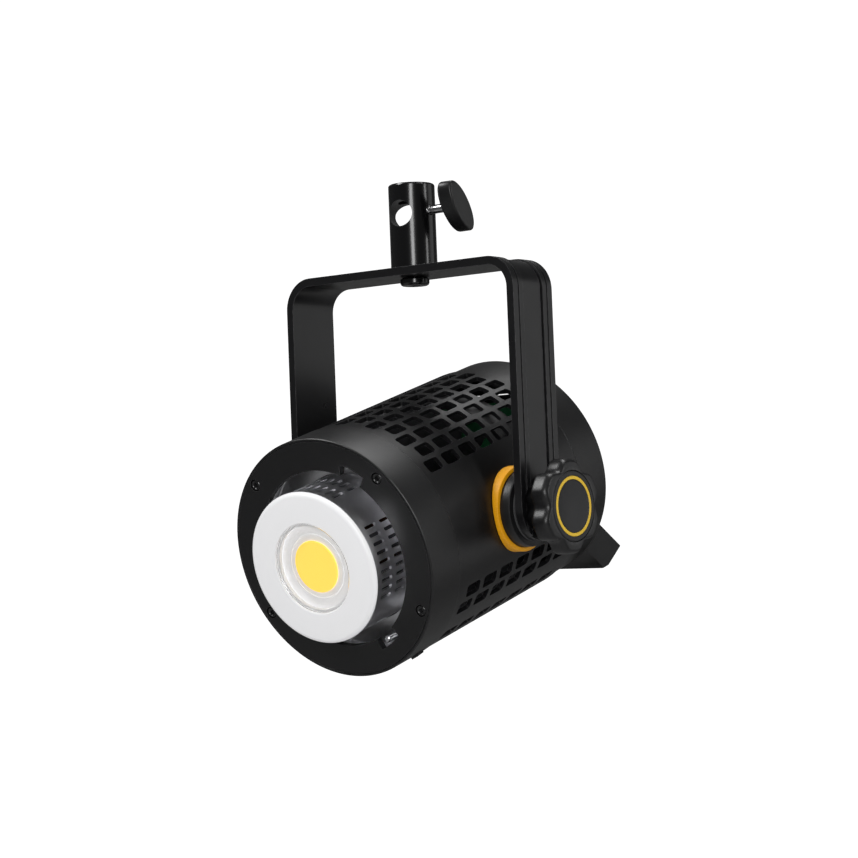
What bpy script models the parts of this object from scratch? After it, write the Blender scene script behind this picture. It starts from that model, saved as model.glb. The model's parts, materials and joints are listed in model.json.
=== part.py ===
"""Open-face LED studio light: a round perforated head in a U yoke, hung from a spigot receiver.

Sizes are in metres, +Z is up and the light shines towards -Y.  The origin is the centre of the
receiver's mouth, where a stand's spigot enters.  Everything hangs from that point: the yoke is
upright and the head is tilted nose-down by HEAD_TILT about the pivot, which runs along X.
"""

import math

import bmesh
import bpy
from mathutils import Matrix, Vector

MM = 0.001
WELD = 1e-7
GAP = 0.3 * MM  # left between pieces that touch

# Sides of round pieces, by how large they are.
LARGE, WIDE, MEDIUM, ROUND, SMALL, TINY = 48, 36, 32, 24, 20, 12

# Yoke and receiver.  Heights are above the pivot's centre.
YOKE_TOP = 143.6 * MM
YOKE_THICK = 4.8 * MM
YOKE_WIDTH = 37.2 * MM
YOKE_CORNER_R = 18.5 * MM
RECEIVER_R = 13.75 * MM
RECEIVER_LENGTH = 50.0 * MM
RECEIVER_FLOOR = 9.0 * MM
SPIGOT_BORE_R = 8.1 * MM
CROSS_BORE_R = 7.7 * MM
CROSS_BORE_DROP = 18.0 * MM  # below the receiver's mouth
CROSS_BORE_OFFSET = 4.4 * MM  # to the side away from the clamp screw
CROSS_BORE_TURN = math.radians(24.0)
RECEIVER_BOLT_R = 4.0 * MM
RECEIVER_BOLT_HEAD_R = 8.6 * MM
RECEIVER_BOLT_HEAD_H = 4.7 * MM
BOLT_KEY_R = 3.6 * MM  # of the hexagon sockets in the receiver's bolt and the left pivot's bolt
RECEIVER_KEY_DEPTH = 2.4 * MM

# Clamp screw and its paddle handle.
CLAMP_SCREW_R = 2.75 * MM
CLAMP_DROP = 16.5 * MM  # below the receiver's mouth
CLAMP_TIP_X = 8.7 * MM
HANDLE_START_X = 24.4 * MM
HANDLE_BOSS = 2.6 * MM
HANDLE_THICK = 11.0 * MM
HANDLE_LENGTH = 33.0 * MM
HANDLE_WIDTH = 14.0 * MM
HANDLE_LEAN = math.radians(35.0)
HANDLE_BOSS_R = 5.2 * MM
HANDLE_BOSS_END_R = 4.6 * MM
HANDLE_EDGE = 2.0 * MM  # over which the paddle's rim rounds off
HANDLE_SHOULDER = 0.82  # of full size where the paddle starts
HANDLE_FACE = 0.84  # of full size at its outer face
HANDLE_SIDES = 24

# Head shells.  Y is measured from the pivot, negative towards the light's front.
HEAD_TILT = math.radians(16.18)
BODY_R = 69.6 * MM
BODY_WALL = 2.5 * MM
BODY_FRONT = -61.4 * MM
BODY_REAR = 64.4 * MM
BEZEL_R = 70.0 * MM
BEZEL_LENGTH = 25.7 * MM
BEZEL_RIM = 1.5 * MM
BEZEL_WALL = 3.0 * MM
PLATE_THICK = 4.0 * MM
CAP_R = 68.5 * MM
CAP_WALL = 3.6 * MM
CAP_LENGTH = 27.6 * MM
CAP_GROOVE = 1.5 * MM
CAP_SPIGOT = 7.0 * MM

# Vent openings of the housing, in rows round the top and the belly.
VENT_LENGTH = 12.7 * MM
VENT_TURN = math.radians(6.6)
VENT_PITCH = 16.3 * MM
VENT_ROW_TURN = math.radians(8.9)
VENT_COUNT = 7
VENT_START = 11.5 * MM  # first centre, behind the housing's front edge
VENT_SHIFT = 4.1 * MM  # of every other row
TOP_ROWS = range(-6, 7)
BELLY_ROWS = (-19, -18, -17, -16, -14, -13, 13, 14, 16, 17, 18, 19, 20)
BELLY_TURN = math.radians(2.0)  # the belly's rows count from the bottom

# Lamp module and bayonet mount.
BARREL_R = 43.4 * MM
BARREL_WALL = 1.5 * MM
BARREL_REACH = 15.2 * MM  # of the barrel ahead of the front plate
RING_R = 44.0 * MM
RING_THICK = 2.7 * MM
GLASS_R = 25.9 * MM
GLASS_THICK = 1.5 * MM
EMITTER_R = 15.1 * MM
EMITTER_DEPTH = 4.45 * MM  # behind the ring's face
SLOT_WIDTH = 2.05 * MM
SLOT_TURN = math.radians(6.93)
SLOTS_IN_GROUP = 9
SLOT_ROWS = ((11.8 * MM, 9.3 * MM), (24.6 * MM, 8.4 * MM))  # centre behind the face, length
MOUNT_R = 51.5 * MM
NOTCH_R = 58.0 * MM
NOTCH_TURN = math.radians(16.0)
NOTCH_ANGLES = tuple(math.radians(a) for a in (30.0, 150.0, 270.0))
MOUNT_WALL = 1.7 * MM
MOUNT_DEPTH = 18.8 * MM
SCREW_CIRCLE_R = 63.5 * MM
SCREW_ANGLES = tuple(math.radians(a) for a in (45.0, 119.5, 240.5, 315.0))
SCREW_HEAD_R = 3.25 * MM
SCREW_HEAD_H = 2.2 * MM
SCREW_R = 1.45 * MM
SCREW_LENGTH = 7.0 * MM
SCREW_KEY_R = 1.5 * MM
SCREW_KEY_DEPTH = 1.2 * MM
THREAD_DEPTH = 8.0 * MM
FLANGE_THICK = 4.0 * MM
MOUNT_FLOOR = 2.0 * MM
SPRING_TURN = math.radians(22.0)
SPRING_LEAD = math.radians(31.0)  # from a spring's start to the notch after it
SPRING_BOW = 2.2 * MM
SPRING_THICK = 0.6 * MM
SPRING_WIDTH = 7.0 * MM
SPRING_SETBACK = 3.0 * MM
SPRING_GAP = 0.5 * MM  # from the cup's wall
SPRING_STEPS = 6
LOCK_ANGLE = math.radians(152.0)
LOCK_CIRCLE_R = 54.6 * MM
LOCK_PIN_R = 1.9 * MM
LOCK_TRAVEL = 4.0 * MM
LOCK_PIN_SINK = 1.2 * MM  # below the plate's face
LOCK_ARM_GAP = 1.5 * MM  # behind the mount's back
LOCK_ARM_THICK = 2.0 * MM
LOCK_ARM_OVERLAP = 2.5 * MM  # of the arm past the pin's axis
SLIDER_SETBACK = 8.2 * MM  # of the thumb slider behind the plate's back
SLIDER_LENGTH = 5.0 * MM
SLIDER_WIDTH = 6.0 * MM
SLIDER_ROOM = 0.4 * MM
SLIDER_PROUD = 1.2 * MM

# Pivots and the tilt knob.
SIDE_ROOM = 11.1 * MM  # between the housing's side and the yoke's inner face
BOSS_R = 22.0 * MM
PIVOT_RING_R = 24.6 * MM
PIVOT_RING_END = 3.2 * MM  # proud of the housing's side
WASHER_THICK = 0.9 * MM
WASHER_R = 19.0 * MM
TILT_BOLT_R = 4.0 * MM
BOLT_CLEARANCE = 0.4 * MM
KNOB_R = 26.9 * MM
KNOB_LENGTH = 22.2 * MM
KNOB_HOLE_DEPTH = 12.0 * MM
KNOB_NECK = 0.62  # share of its outline
# Each stage of the knob's side: mm up from its foot, and share of its outline.
KNOB_STAGES = ((0.0, KNOB_NECK), (8.0, KNOB_NECK), (10.8, 0.98), (12.2, 1.0), (17.2, 1.0), (20.4, 0.96))
KNOB_FACE = 0.88  # share of its outline at the face
KNOB_SIDES = 60
TILT_BOLT_REACH = 8.0 * MM  # into the head, from the yoke's inner face
KNOB_SCALLOPS = 6
SCALLOP_DEPTH = 4.0 * MM
SCALLOP_TURN = math.radians(40.0)
KNOB_CAP_R = 20.0 * MM
KNOB_CAP_THICK = 2.6 * MM
KNOB_RING_R = 16.05 * MM
KNOB_RING_WIDTH = 1.9 * MM
KNOB_RING_DEPTH = 0.8 * MM
LEFT_BOLT_HEAD_R = 11.0 * MM
LEFT_BOLT_HEAD_H = 5.5 * MM
LEFT_BOLT_REACH = 9.0 * MM  # into the head, from the yoke's inner face
LEFT_KEY_DEPTH = 2.8 * MM
BOSS_ROOT = 12.0 * MM  # how deep a boss starts before the housing's shape is cut from it

# Cooling and electronics inside the head.
SPREADER_R = 38.0 * MM
SPREADER_THICK = 5.0 * MM
PIPE_R = 3.0 * MM
PIPE_CIRCLE_R = 17.0 * MM
PIPE_COUNT = 4
PIPE_SINK = 1.5 * MM  # of a pipe's end into the spreader
SINK_HUB_R = 24.0 * MM
SINK_R = 62.0 * MM
SINK_FINS = 20
FIN_THICK = 1.6 * MM
SINK_FRONT = -50.0 * MM
SINK_REAR = 24.0 * MM
FAN_R = 59.0 * MM
FAN_DEPTH = 20.0 * MM
FAN_START = 27.0 * MM
FAN_HUB_R = 16.0 * MM
FAN_BLADES = 7
FAN_WALL = 3.0 * MM
FAN_SPOKE = (4.0 * MM, 2.5 * MM)  # width and thickness
FAN_TIP_GAP = 4.5 * MM  # from the frame's outside to a blade's tip
FAN_BLADE_THICK = 1.5 * MM
FAN_PITCH = math.radians(38.0)
FAN_HUB_GAP = 3.2 * MM  # from the hub's back to the frame's back
FAN_CHORD = FAN_DEPTH - 7.0 * MM
BOARD_THICK = 1.6 * MM
DRIVER_Y = 71.0 * MM
DRIVER_SIZE = (88.0 * MM, 72.0 * MM)
TALL_PARTS = 16.0 * MM  # height of the transformer and the capacitor on the driver board
TRANSFORMER_LOW = (-32.0 * MM, -14.0 * MM)
TRANSFORMER_HIGH = (0.0, 16.0 * MM)
CAPACITOR_R = 9.0 * MM
CAPACITOR_PLACE = (20.0 * MM, 8.0 * MM)
CONTROL_BOARD_GAP = 6.0 * MM  # ahead of the rear panel
CONTROL_BOARD_LOW = (-42.0 * MM, 2.0 * MM)
CONTROL_BOARD_HIGH = (42.0 * MM, 44.0 * MM)

# Rear panel and its controls.  Places are (x, z) on the panel.
PANEL_THICK = 3.0 * MM
PANEL_SINK = 2.0 * MM  # below the cap's rear edge
CONTROL_CLEARANCE = 0.4 * MM
DISPLAY_SIZE = (50.0 * MM, 26.0 * MM)
DISPLAY_PLACE = (0.0, 34.0 * MM)
DIAL_R = 10.0 * MM
DIAL_PROUD = 11.0 * MM
DIAL_SHAFT_R = 3.0 * MM
DIAL_SHAFT_DEPTH = 2.0 * MM  # ahead of the panel
DIAL_PLACES = {"brightness_dial": (-31.0 * MM, -6.0 * MM), "mode_dial": (31.0 * MM, -6.0 * MM)}
BUTTON_R = 4.0 * MM
BUTTON_PROUD = 2.0 * MM
BUTTON_PLACES = ((-17.0 * MM, 11.0 * MM), (0.0, 11.0 * MM), (17.0 * MM, 11.0 * MM))
ROCKER_SIZE = (12.0 * MM, 18.0 * MM)
ROCKER_PLACE = (0.0, -10.0 * MM)
ROCKER_SWING = math.radians(8.0)
ROCKER_BASE = -3.0 * MM  # of its back, from its axis
ROCKER_CROWN = 1.6 * MM  # of its ends above the panel
ROCKER_DIP = 0.8 * MM
ROCKER_HALF_DEPTH = 4.0 * MM  # swept by its edges as it rocks
INLET_SIZE = (30.0 * MM, 22.0 * MM)
INLET_PLACE = (0.0, -48.0 * MM)
INLET_SOCKET = (24.0 * MM, 16.5 * MM)
INLET_DEPTH = 15.0 * MM
INLET_BODY = 18.0 * MM

# Foot bracket behind the rear cap.
FOOT_LENGTH = 28.0 * MM
FOOT_WALL = 3.0 * MM
FOOT_TOP = (19.0 * MM, -28.0 * MM)
FOOT_BOTTOM = (52.0 * MM, -66.5 * MM)
FOOT_RISE = 5.0 * MM
FOOT_LEVEL = 6.0 * MM  # of the bottom before it rises towards the rear
FOOT_CORNER = 3.0 * MM

# Places worked out from the values above.
YOKE_IN_X = BODY_R + SIDE_ROOM
YOKE_OUT_X = YOKE_IN_X + YOKE_THICK
MOUTH_Z = YOKE_TOP + GAP + RECEIVER_LENGTH
FACE_Y = BODY_FRONT - BEZEL_LENGTH
PLATE_BACK = FACE_Y + PLATE_THICK
RING_FACE = FACE_Y - BARREL_REACH - RING_THICK - GAP
RING_BACK = RING_FACE + RING_THICK
EMITTER_FACE = RING_FACE + EMITTER_DEPTH
CAP_START = BODY_REAR + CAP_GROOVE
CAP_REAR = CAP_START + CAP_LENGTH
CAP_IN_R = CAP_R - CAP_WALL
PANEL_REAR = CAP_REAR - PANEL_SINK
PANEL_FRONT = PANEL_REAR - PANEL_THICK
MOUNT_OUT_R = NOTCH_R + GAP + MOUNT_WALL
MOUNT_BACK = PLATE_BACK + GAP + MOUNT_DEPTH

FINISHES = {}


def finish(name, colour, roughness, metallic=0.0):
    """Returns the named Principled material, made the first time it is asked for."""
    if name not in FINISHES:
        made = bpy.data.materials.new(name)
        made.use_nodes = True
        shader = made.node_tree.nodes["Principled BSDF"]
        shader.inputs["Base Color"].default_value = (*colour, 1.0)
        shader.inputs["Roughness"].default_value = roughness
        shader.inputs["Metallic"].default_value = metallic
        FINISHES[name] = made
    return FINISHES[name]


def satin_black():
    """Fine-grained satin black of the castings and the yoke."""
    return finish("satin_black", (0.018, 0.018, 0.02), 0.45)


def gloss_black():
    """Glossy black of the receiver and its bolt."""
    return finish("gloss_black", (0.006, 0.006, 0.007), 0.15)


def black_plastic():
    """Satin black plastic of knobs and controls."""
    return finish("black_plastic", (0.02, 0.02, 0.022), 0.5)


def steel():
    """Bright steel of screws and springs."""
    return finish("steel", (0.6, 0.6, 0.6), 0.25, 1.0)


def aluminium():
    """Polished aluminium of the lamp's barrel and the mount."""
    return finish("aluminium", (0.8, 0.8, 0.82), 0.2, 1.0)


def yellow():
    """Orange-yellow of the pivot and knob rings."""
    return finish("yellow", (0.85, 0.4, 0.01), 0.4)


def white():
    """White of the lamp's front ring and circuit board."""
    return finish("white", (0.85, 0.85, 0.86), 0.4)


def circuit_green():
    """Green lacquer of the circuit boards."""
    return finish("circuit_green", (0.02, 0.16, 0.06), 0.4)


def copper():
    """Bare copper of the heat pipes."""
    return finish("copper", (0.75, 0.35, 0.2), 0.3, 1.0)


def empty(name, parent=None, location=(0.0, 0.0, 0.0), turn=0.0):
    """Adds an empty to hang pieces on, turned about X."""
    made = bpy.data.objects.new(name, None)
    bpy.context.scene.collection.objects.link(made)
    made.parent = parent
    made.location = location
    made.rotation_euler.x = turn
    return made


def piece(name, bm, material, parent, location=(0.0, 0.0, 0.0)):
    """Turns a bmesh into a named object with one material."""
    bmesh.ops.remove_doubles(bm, verts=bm.verts, dist=WELD)
    bmesh.ops.recalc_face_normals(bm, faces=bm.faces)
    mesh = bpy.data.meshes.new(name)
    bm.to_mesh(mesh)
    bm.free()
    mesh.shade_smooth()
    mesh.set_sharp_from_angle(angle=math.radians(30.0))
    mesh.materials.append(material)
    made = bpy.data.objects.new(name, mesh)
    bpy.context.scene.collection.objects.link(made)
    made.parent = parent
    made.location = location
    return made


def combine(target, name, bm, operation, location=(0.0, 0.0, 0.0)):
    """Cuts, joins or trims a piece with a hidden helper, placed in the piece's own space."""
    helper = piece(name, bm, target.data.materials[0], target, location)
    helper.hide_render = True
    helper.display_type = "WIRE"
    boolean = target.modifiers.new(name, "BOOLEAN")
    boolean.operation = operation
    boolean.solver = "EXACT"
    boolean.object = helper
    return helper


def polar(radius, angle, along=0.0):
    """Point at a radius and an angle from +Z towards +X, seen from the light's front."""
    return Vector((radius * math.sin(angle), along, radius * math.cos(angle)))


def arc(centre, radius, start, end, steps):
    """Points (u, v) along an arc, from one angle to another."""
    turns = [start + (end - start) * i / steps for i in range(steps + 1)]
    return [(centre[0] + radius * math.cos(t), centre[1] + radius * math.sin(t)) for t in turns]


def turned(outline, axis, sides):
    """Spins a closed outline of (along, radius) points round an axis through the origin."""
    along, out = {
        "X": (Vector((1.0, 0.0, 0.0)), Vector((0.0, 0.0, 1.0))),
        "Y": (Vector((0.0, 1.0, 0.0)), Vector((0.0, 0.0, 1.0))),
        "Z": (Vector((0.0, 0.0, 1.0)), Vector((1.0, 0.0, 0.0))),
    }[axis]
    bm = bmesh.new()
    points = [bm.verts.new(along * a + out * r) for a, r in outline]
    edges = []
    for first, second in zip(outline, outline[1:] + outline[:1]):
        if first[1] or second[1]:
            pair = (points[outline.index(first)], points[outline.index(second)])
            edges.append(bm.edges.new(pair))
    bmesh.ops.spin(
        bm, geom=points + edges, axis=along, angle=math.tau, steps=sides, use_merge=True
    )
    bmesh.ops.remove_doubles(bm, verts=bm.verts, dist=WELD)
    return bm


def disc(start, end, radius, axis, sides):
    """A plain cylinder from one place on its axis to another."""
    return turned([(start, 0.0), (start, radius), (end, radius), (end, 0.0)], axis, sides)


def tube(start, end, inner, outer, axis, sides):
    """A plain tube from one place on its axis to another."""
    outline = [(start, inner), (start, outer), (end, outer), (end, inner)]
    return turned(outline, axis, sides)


def prism(bm, points, depth):
    """Adds the solid that a flat outline sweeps when it is pushed along a vector."""
    face = bm.faces.new([bm.verts.new(point) for point in points])
    swept = bmesh.ops.extrude_face_region(bm, geom=[face], use_keep_orig=True)
    moved = [item for item in swept["geom"] if isinstance(item, bmesh.types.BMVert)]
    bmesh.ops.translate(bm, verts=moved, vec=depth)


def block(low, high):
    """A box between two corners."""
    size = Vector(high) - Vector(low)
    middle = (Vector(high) + Vector(low)) / 2.0
    bm = bmesh.new()
    place = Matrix.Translation(middle) @ Matrix.Diagonal((*size, 1.0))
    bmesh.ops.create_cube(bm, size=1.0, matrix=place)
    return bm


def lofted(rings, closed=False):
    """Skins rings of equal counts, in order, and caps both ends or joins the last to the first."""
    bm = bmesh.new()
    loops = [[bm.verts.new(point) for point in ring] for ring in rings]
    pairs = list(zip(loops, loops[1:]))
    if closed:
        pairs.append((loops[-1], loops[0]))
    else:
        bm.faces.new(loops[0])
        bm.faces.new(loops[-1])
    for first, second in pairs:
        for i, corner in enumerate(first):
            j = (i + 1) % len(first)
            bm.faces.new((corner, first[j], second[j], second[i]))
    return bm


def across_x(radii, angles, x):
    """A ring of points round the X axis: one radius for each angle from +Y towards +Z."""
    return [Vector((x, r * math.cos(a), r * math.sin(a))) for r, a in zip(radii, angles)]


def perforated_tube(radius, start, end, openings):
    """The skin of a tube along Y with openings of (centre angle, turn, low y, high y)."""
    finest = math.radians(7.5)
    lines = {start, end}
    edges = set()
    for centre, turn, low, high in openings:
        edges |= {round((centre + side * turn / 2.0) % math.tau, 6) for side in (-1.0, 1.0)}
        lines |= {low, high}
    edges = sorted(edges)
    angles = []
    for first, second in zip(edges, edges[1:] + [edges[0] + math.tau]):
        steps = max(1, math.ceil((second - first) / finest))
        angles += [first + (second - first) * i / steps for i in range(steps)]
    lines = sorted(lines)
    bm = bmesh.new()
    grid = [[bm.verts.new(polar(radius, a, y)) for y in lines] for a in angles]
    for i, angle in enumerate(angles):
        following = angles[(i + 1) % len(angles)] + (math.tau if i + 1 == len(angles) else 0.0)
        middle = (angle + following) / 2.0
        near = [o for o in openings if abs(math.remainder(middle - o[0], math.tau)) < o[1] / 2.0]
        for j, (low, high) in enumerate(zip(lines, lines[1:])):
            if any(o[2] < (low + high) / 2.0 < o[3] for o in near):
                continue
            after = grid[(i + 1) % len(angles)]
            bm.faces.new((grid[i][j], grid[i][j + 1], after[j + 1], after[j]))
    bm.normal_update()
    bmesh.ops.dissolve_limit(
        bm, angle_limit=math.radians(0.2), verts=bm.verts, edges=bm.edges, delimit=set()
    )
    bmesh.ops.triangulate(bm, faces=bm.faces, quad_method="BEAUTY", ngon_method="BEAUTY")
    loose = [v for v in bm.verts if not v.link_faces]
    bmesh.ops.delete(bm, geom=loose, context="VERTS")
    return bm


def thicken(target, wall):
    """Gives a skin its wall, inwards."""
    solid = target.modifiers.new("wall", "SOLIDIFY")
    solid.thickness = wall
    solid.offset = -1.0
    solid.use_even_offset = True


def screw(name, parent, place, head_r, head_h, shank_r, shank, axis, material):
    """A cap screw: its head starts at the place and its shank runs on along the axis."""
    outline = [(0.0, 0.0), (0.0, head_r), (head_h, head_r)]
    outline += [(head_h, shank_r), (shank, shank_r), (shank, 0.0)]
    return piece(name, turned(outline, axis, SMALL), material, parent, place)


def drive(target, radius, depth, toward):
    """Cuts a hexagon socket into the end of a screw's head that lies at its origin."""
    axis = "XYZ"[max(range(3), key=lambda i: abs(toward[i]))]
    sign = max(toward, key=abs)
    hexagon = disc(-depth * sign, depth * sign, radius, axis, 6)
    combine(target, target.name + "_socket", hexagon, "DIFFERENCE")


# ---------------------------------------------------------------- yoke and receiver


def add_yoke(stand):
    """The U strap: a crossbar with rounded corners and two legs with round ends."""
    inner_corner = YOKE_CORNER_R - YOKE_THICK
    corner_z = YOKE_TOP - YOKE_CORNER_R
    corner_x = YOKE_OUT_X - YOKE_CORNER_R
    outer = arc((corner_x, corner_z), YOKE_CORNER_R, 0.0, math.pi / 2.0, 8)
    outer += arc((-corner_x, corner_z), YOKE_CORNER_R, math.pi / 2.0, math.pi, 8)
    inner = arc((-corner_x, corner_z), inner_corner, math.pi, math.pi / 2.0, 8)
    inner += arc((corner_x, corner_z), inner_corner, math.pi / 2.0, 0.0, 8)
    bm = bmesh.new()
    half = YOKE_WIDTH / 2.0
    prism(bm, [Vector((x, -half, z)) for x, z in outer + inner], Vector((0.0, YOKE_WIDTH, 0.0)))
    leg = [(half, corner_z), (-half, corner_z)] + arc((0.0, 0.0), half, -math.pi, 0.0, 16)
    for side in (-1.0, 1.0):
        points = [Vector((side * YOKE_OUT_X, y, z)) for y, z in leg]
        prism(bm, points, Vector((-side * YOKE_THICK, 0.0, 0.0)))
    seam = [f for f in bm.faces if all(abs(v.co.z - corner_z) < WELD for v in f.verts)]
    bmesh.ops.delete(bm, geom=seam, context="FACES_ONLY")
    yoke = piece("yoke", bm, satin_black(), stand)
    reach = YOKE_OUT_X + GAP
    pivots = disc(-reach, reach, TILT_BOLT_R + BOLT_CLEARANCE, "X", SMALL)
    combine(yoke, "pivot_holes", pivots, "DIFFERENCE")
    low = YOKE_TOP - 2.0 * YOKE_THICK
    upright = disc(low, YOKE_TOP + YOKE_THICK, RECEIVER_BOLT_R + BOLT_CLEARANCE, "Z", SMALL)
    combine(yoke, "receiver_bolt_hole", upright, "DIFFERENCE")


def add_receiver(stand):
    """The spigot receiver on the crossbar, with its cross bore and the bolt that holds it."""
    foot = YOKE_TOP + GAP
    floor = foot + RECEIVER_FLOOR
    thread = RECEIVER_BOLT_R + BOLT_CLEARANCE
    outline = [(MOUTH_Z, SPIGOT_BORE_R), (MOUTH_Z, RECEIVER_R), (foot, RECEIVER_R)]
    outline += [(foot, thread), (floor, thread), (floor, SPIGOT_BORE_R)]
    tube_piece = piece("receiver_tube", turned(outline, "Z", MEDIUM), gloss_black(), stand)
    reach = 2.0 * RECEIVER_R
    cross = combine(
        tube_piece,
        "cross_bore",
        disc(-reach, reach, CROSS_BORE_R, "Y", ROUND),
        "DIFFERENCE",
        (-CROSS_BORE_OFFSET * math.cos(CROSS_BORE_TURN), -CROSS_BORE_OFFSET * math.sin(CROSS_BORE_TURN),
         MOUTH_Z - CROSS_BORE_DROP),
    )
    cross.rotation_euler.z = CROSS_BORE_TURN
    clamp_hole = disc(0.0, reach, CLAMP_SCREW_R + BOLT_CLEARANCE, "X", TINY)
    combine(tube_piece, "clamp_hole", clamp_hole, "DIFFERENCE", (0.0, 0.0, MOUTH_Z - CLAMP_DROP))
    seat = YOKE_TOP - YOKE_THICK - GAP
    shank = floor - GAP - seat + RECEIVER_BOLT_HEAD_H
    bolt = screw(
        "receiver_bolt",
        stand,
        (0.0, 0.0, seat - RECEIVER_BOLT_HEAD_H),
        RECEIVER_BOLT_HEAD_R,
        RECEIVER_BOLT_HEAD_H,
        RECEIVER_BOLT_R,
        shank,
        "Z",
        gloss_black(),
    )
    drive(bolt, BOLT_KEY_R, RECEIVER_KEY_DEPTH, (0.0, 0.0, 1.0))


def add_clamp(stand):
    """The clamp screw in the receiver's side and the oval paddle that turns it."""
    height = MOUTH_Z - CLAMP_DROP
    depth = HANDLE_BOSS + HANDLE_THICK * 0.6
    axis = empty("clamp_axis", stand, (0.0, 0.0, height))
    rod = disc(CLAMP_TIP_X, HANDLE_START_X + depth - GAP, CLAMP_SCREW_R, "X", TINY)
    piece("clamp_screw", rod, steel(), axis)
    angles = [math.tau * i / HANDLE_SIDES for i in range(HANDLE_SIDES)]
    long_way = HANDLE_LEAN + math.pi / 2.0
    oval = [
        1.0 / math.hypot(
            math.cos(a - long_way) / (HANDLE_LENGTH / 2.0), math.sin(a - long_way) / (HANDLE_WIDTH / 2.0)
        )
        for a in angles
    ]
    start = HANDLE_START_X
    shoulder = start + HANDLE_BOSS
    end = shoulder + HANDLE_THICK
    hole = [CLAMP_SCREW_R + GAP] * HANDLE_SIDES
    boss_end = [HANDLE_BOSS_END_R] * HANDLE_SIDES
    boss = [HANDLE_BOSS_R] * HANDLE_SIDES
    rings = [
        across_x(hole, angles, start + depth),
        across_x(hole, angles, start),
        across_x(boss_end, angles, start),
        across_x(boss, angles, shoulder - GAP),
        across_x([r * HANDLE_SHOULDER for r in oval], angles, shoulder),
        across_x(oval, angles, shoulder + HANDLE_EDGE),
        across_x(oval, angles, end - HANDLE_EDGE),
        across_x([r * HANDLE_FACE for r in oval], angles, end),
    ]
    piece("clamp_handle", lofted(rings), black_plastic(), axis)


# ---------------------------------------------------------------- pivots and tilt knob


def star_radii(angles):
    """The knob's outline: a circle with round scallops bitten out of it."""
    radii = []
    for angle in angles:
        off = math.remainder(angle, math.tau / KNOB_SCALLOPS)
        bite = math.cos(math.pi * off / SCALLOP_TURN) ** 2 if abs(off) < SCALLOP_TURN / 2.0 else 0.0
        radii.append(KNOB_R - SCALLOP_DEPTH * bite)
    return radii


def add_tilt_knob(stand):
    """The star knob outside the right leg, its cap and ring, and the bolt that it tightens."""
    start = YOKE_OUT_X + GAP
    front = start + KNOB_LENGTH
    pocket = front - KNOB_CAP_THICK
    hole_end = start + KNOB_HOLE_DEPTH
    angles = [math.tau * i / KNOB_SIDES for i in range(KNOB_SIDES)]
    star = star_radii(angles)
    hole = [TILT_BOLT_R + GAP] * KNOB_SIDES
    recess = [KNOB_CAP_R + GAP] * KNOB_SIDES
    rings = [across_x(hole, angles, hole_end), across_x(hole, angles, start)]
    rings += [across_x([r * share for r in star], angles, start + up * MM) for up, share in KNOB_STAGES]
    rings += [
        across_x([r * KNOB_FACE for r in star], angles, front - GAP),
        across_x(recess, angles, front - GAP),
        across_x(recess, angles, pocket),
    ]
    piece("tilt_knob", lofted(rings), black_plastic(), stand)
    groove_low = KNOB_RING_R - KNOB_RING_WIDTH / 2.0 - GAP
    groove_high = KNOB_RING_R + KNOB_RING_WIDTH / 2.0 + GAP
    groove_floor = front - KNOB_RING_DEPTH - GAP
    outline = [(pocket + GAP, 0.0), (pocket + GAP, KNOB_CAP_R), (front, KNOB_CAP_R)]
    outline += [(front, groove_high), (groove_floor, groove_high)]
    outline += [(groove_floor, groove_low), (front, groove_low), (front, 0.0)]
    piece("knob_cap", turned(outline, "X", MEDIUM), finish("cap_grey", (0.05, 0.05, 0.055), 0.4), stand)
    ring = tube(groove_floor + GAP, front, groove_low + GAP, groove_high - GAP, "X", MEDIUM)
    piece("knob_ring", ring, yellow(), stand)
    bolt = disc(YOKE_IN_X - TILT_BOLT_REACH, hole_end - GAP, TILT_BOLT_R, "X", SMALL)
    piece("tilt_bolt", bolt, steel(), stand)


def add_pivots(head):
    """A boss, a coloured ring and a friction washer on each side, and the left side's bolt."""
    sides = {"left": -1.0, "right": 1.0}
    for name, side in sides.items():
        washer_in = YOKE_IN_X - GAP - WASHER_THICK
        boss_end = washer_in - GAP
        root = BODY_R - BOSS_ROOT
        hole = TILT_BOLT_R + GAP
        boss = tube(side * root, side * boss_end, hole, BOSS_R, "X", MEDIUM)
        boss_piece = piece("pivot_boss_" + name, boss, satin_black(), head)
        ring_end = side * (BODY_R + PIVOT_RING_END)
        ring = tube(side * root, ring_end, BOSS_R + GAP, PIVOT_RING_R, "X", MEDIUM)
        ring_piece = piece("pivot_ring_" + name, ring, yellow(), head)
        for target in (boss_piece, ring_piece):
            skin = disc(-2.0 * PIVOT_RING_R, 2.0 * PIVOT_RING_R, BODY_R + GAP, "Y", LARGE)
            combine(target, target.name + "_saddle", skin, "DIFFERENCE")
        washer = tube(side * washer_in, side * (YOKE_IN_X - GAP), hole, WASHER_R, "X", SMALL)
        piece("friction_washer_" + name, washer, finish("washer", (0.08, 0.08, 0.08), 0.7), head)
    head_start = -YOKE_OUT_X - GAP - LEFT_BOLT_HEAD_H
    shank = YOKE_THICK + LEFT_BOLT_HEAD_H + LEFT_BOLT_REACH
    bolt = screw(
        "left_pivot_bolt",
        head,
        (head_start, 0.0, 0.0),
        LEFT_BOLT_HEAD_R,
        LEFT_BOLT_HEAD_H,
        TILT_BOLT_R,
        shank,
        "X",
        satin_black(),
    )
    drive(bolt, BOLT_KEY_R, LEFT_KEY_DEPTH, (1.0, 0.0, 0.0))


# ---------------------------------------------------------------- head shells


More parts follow.
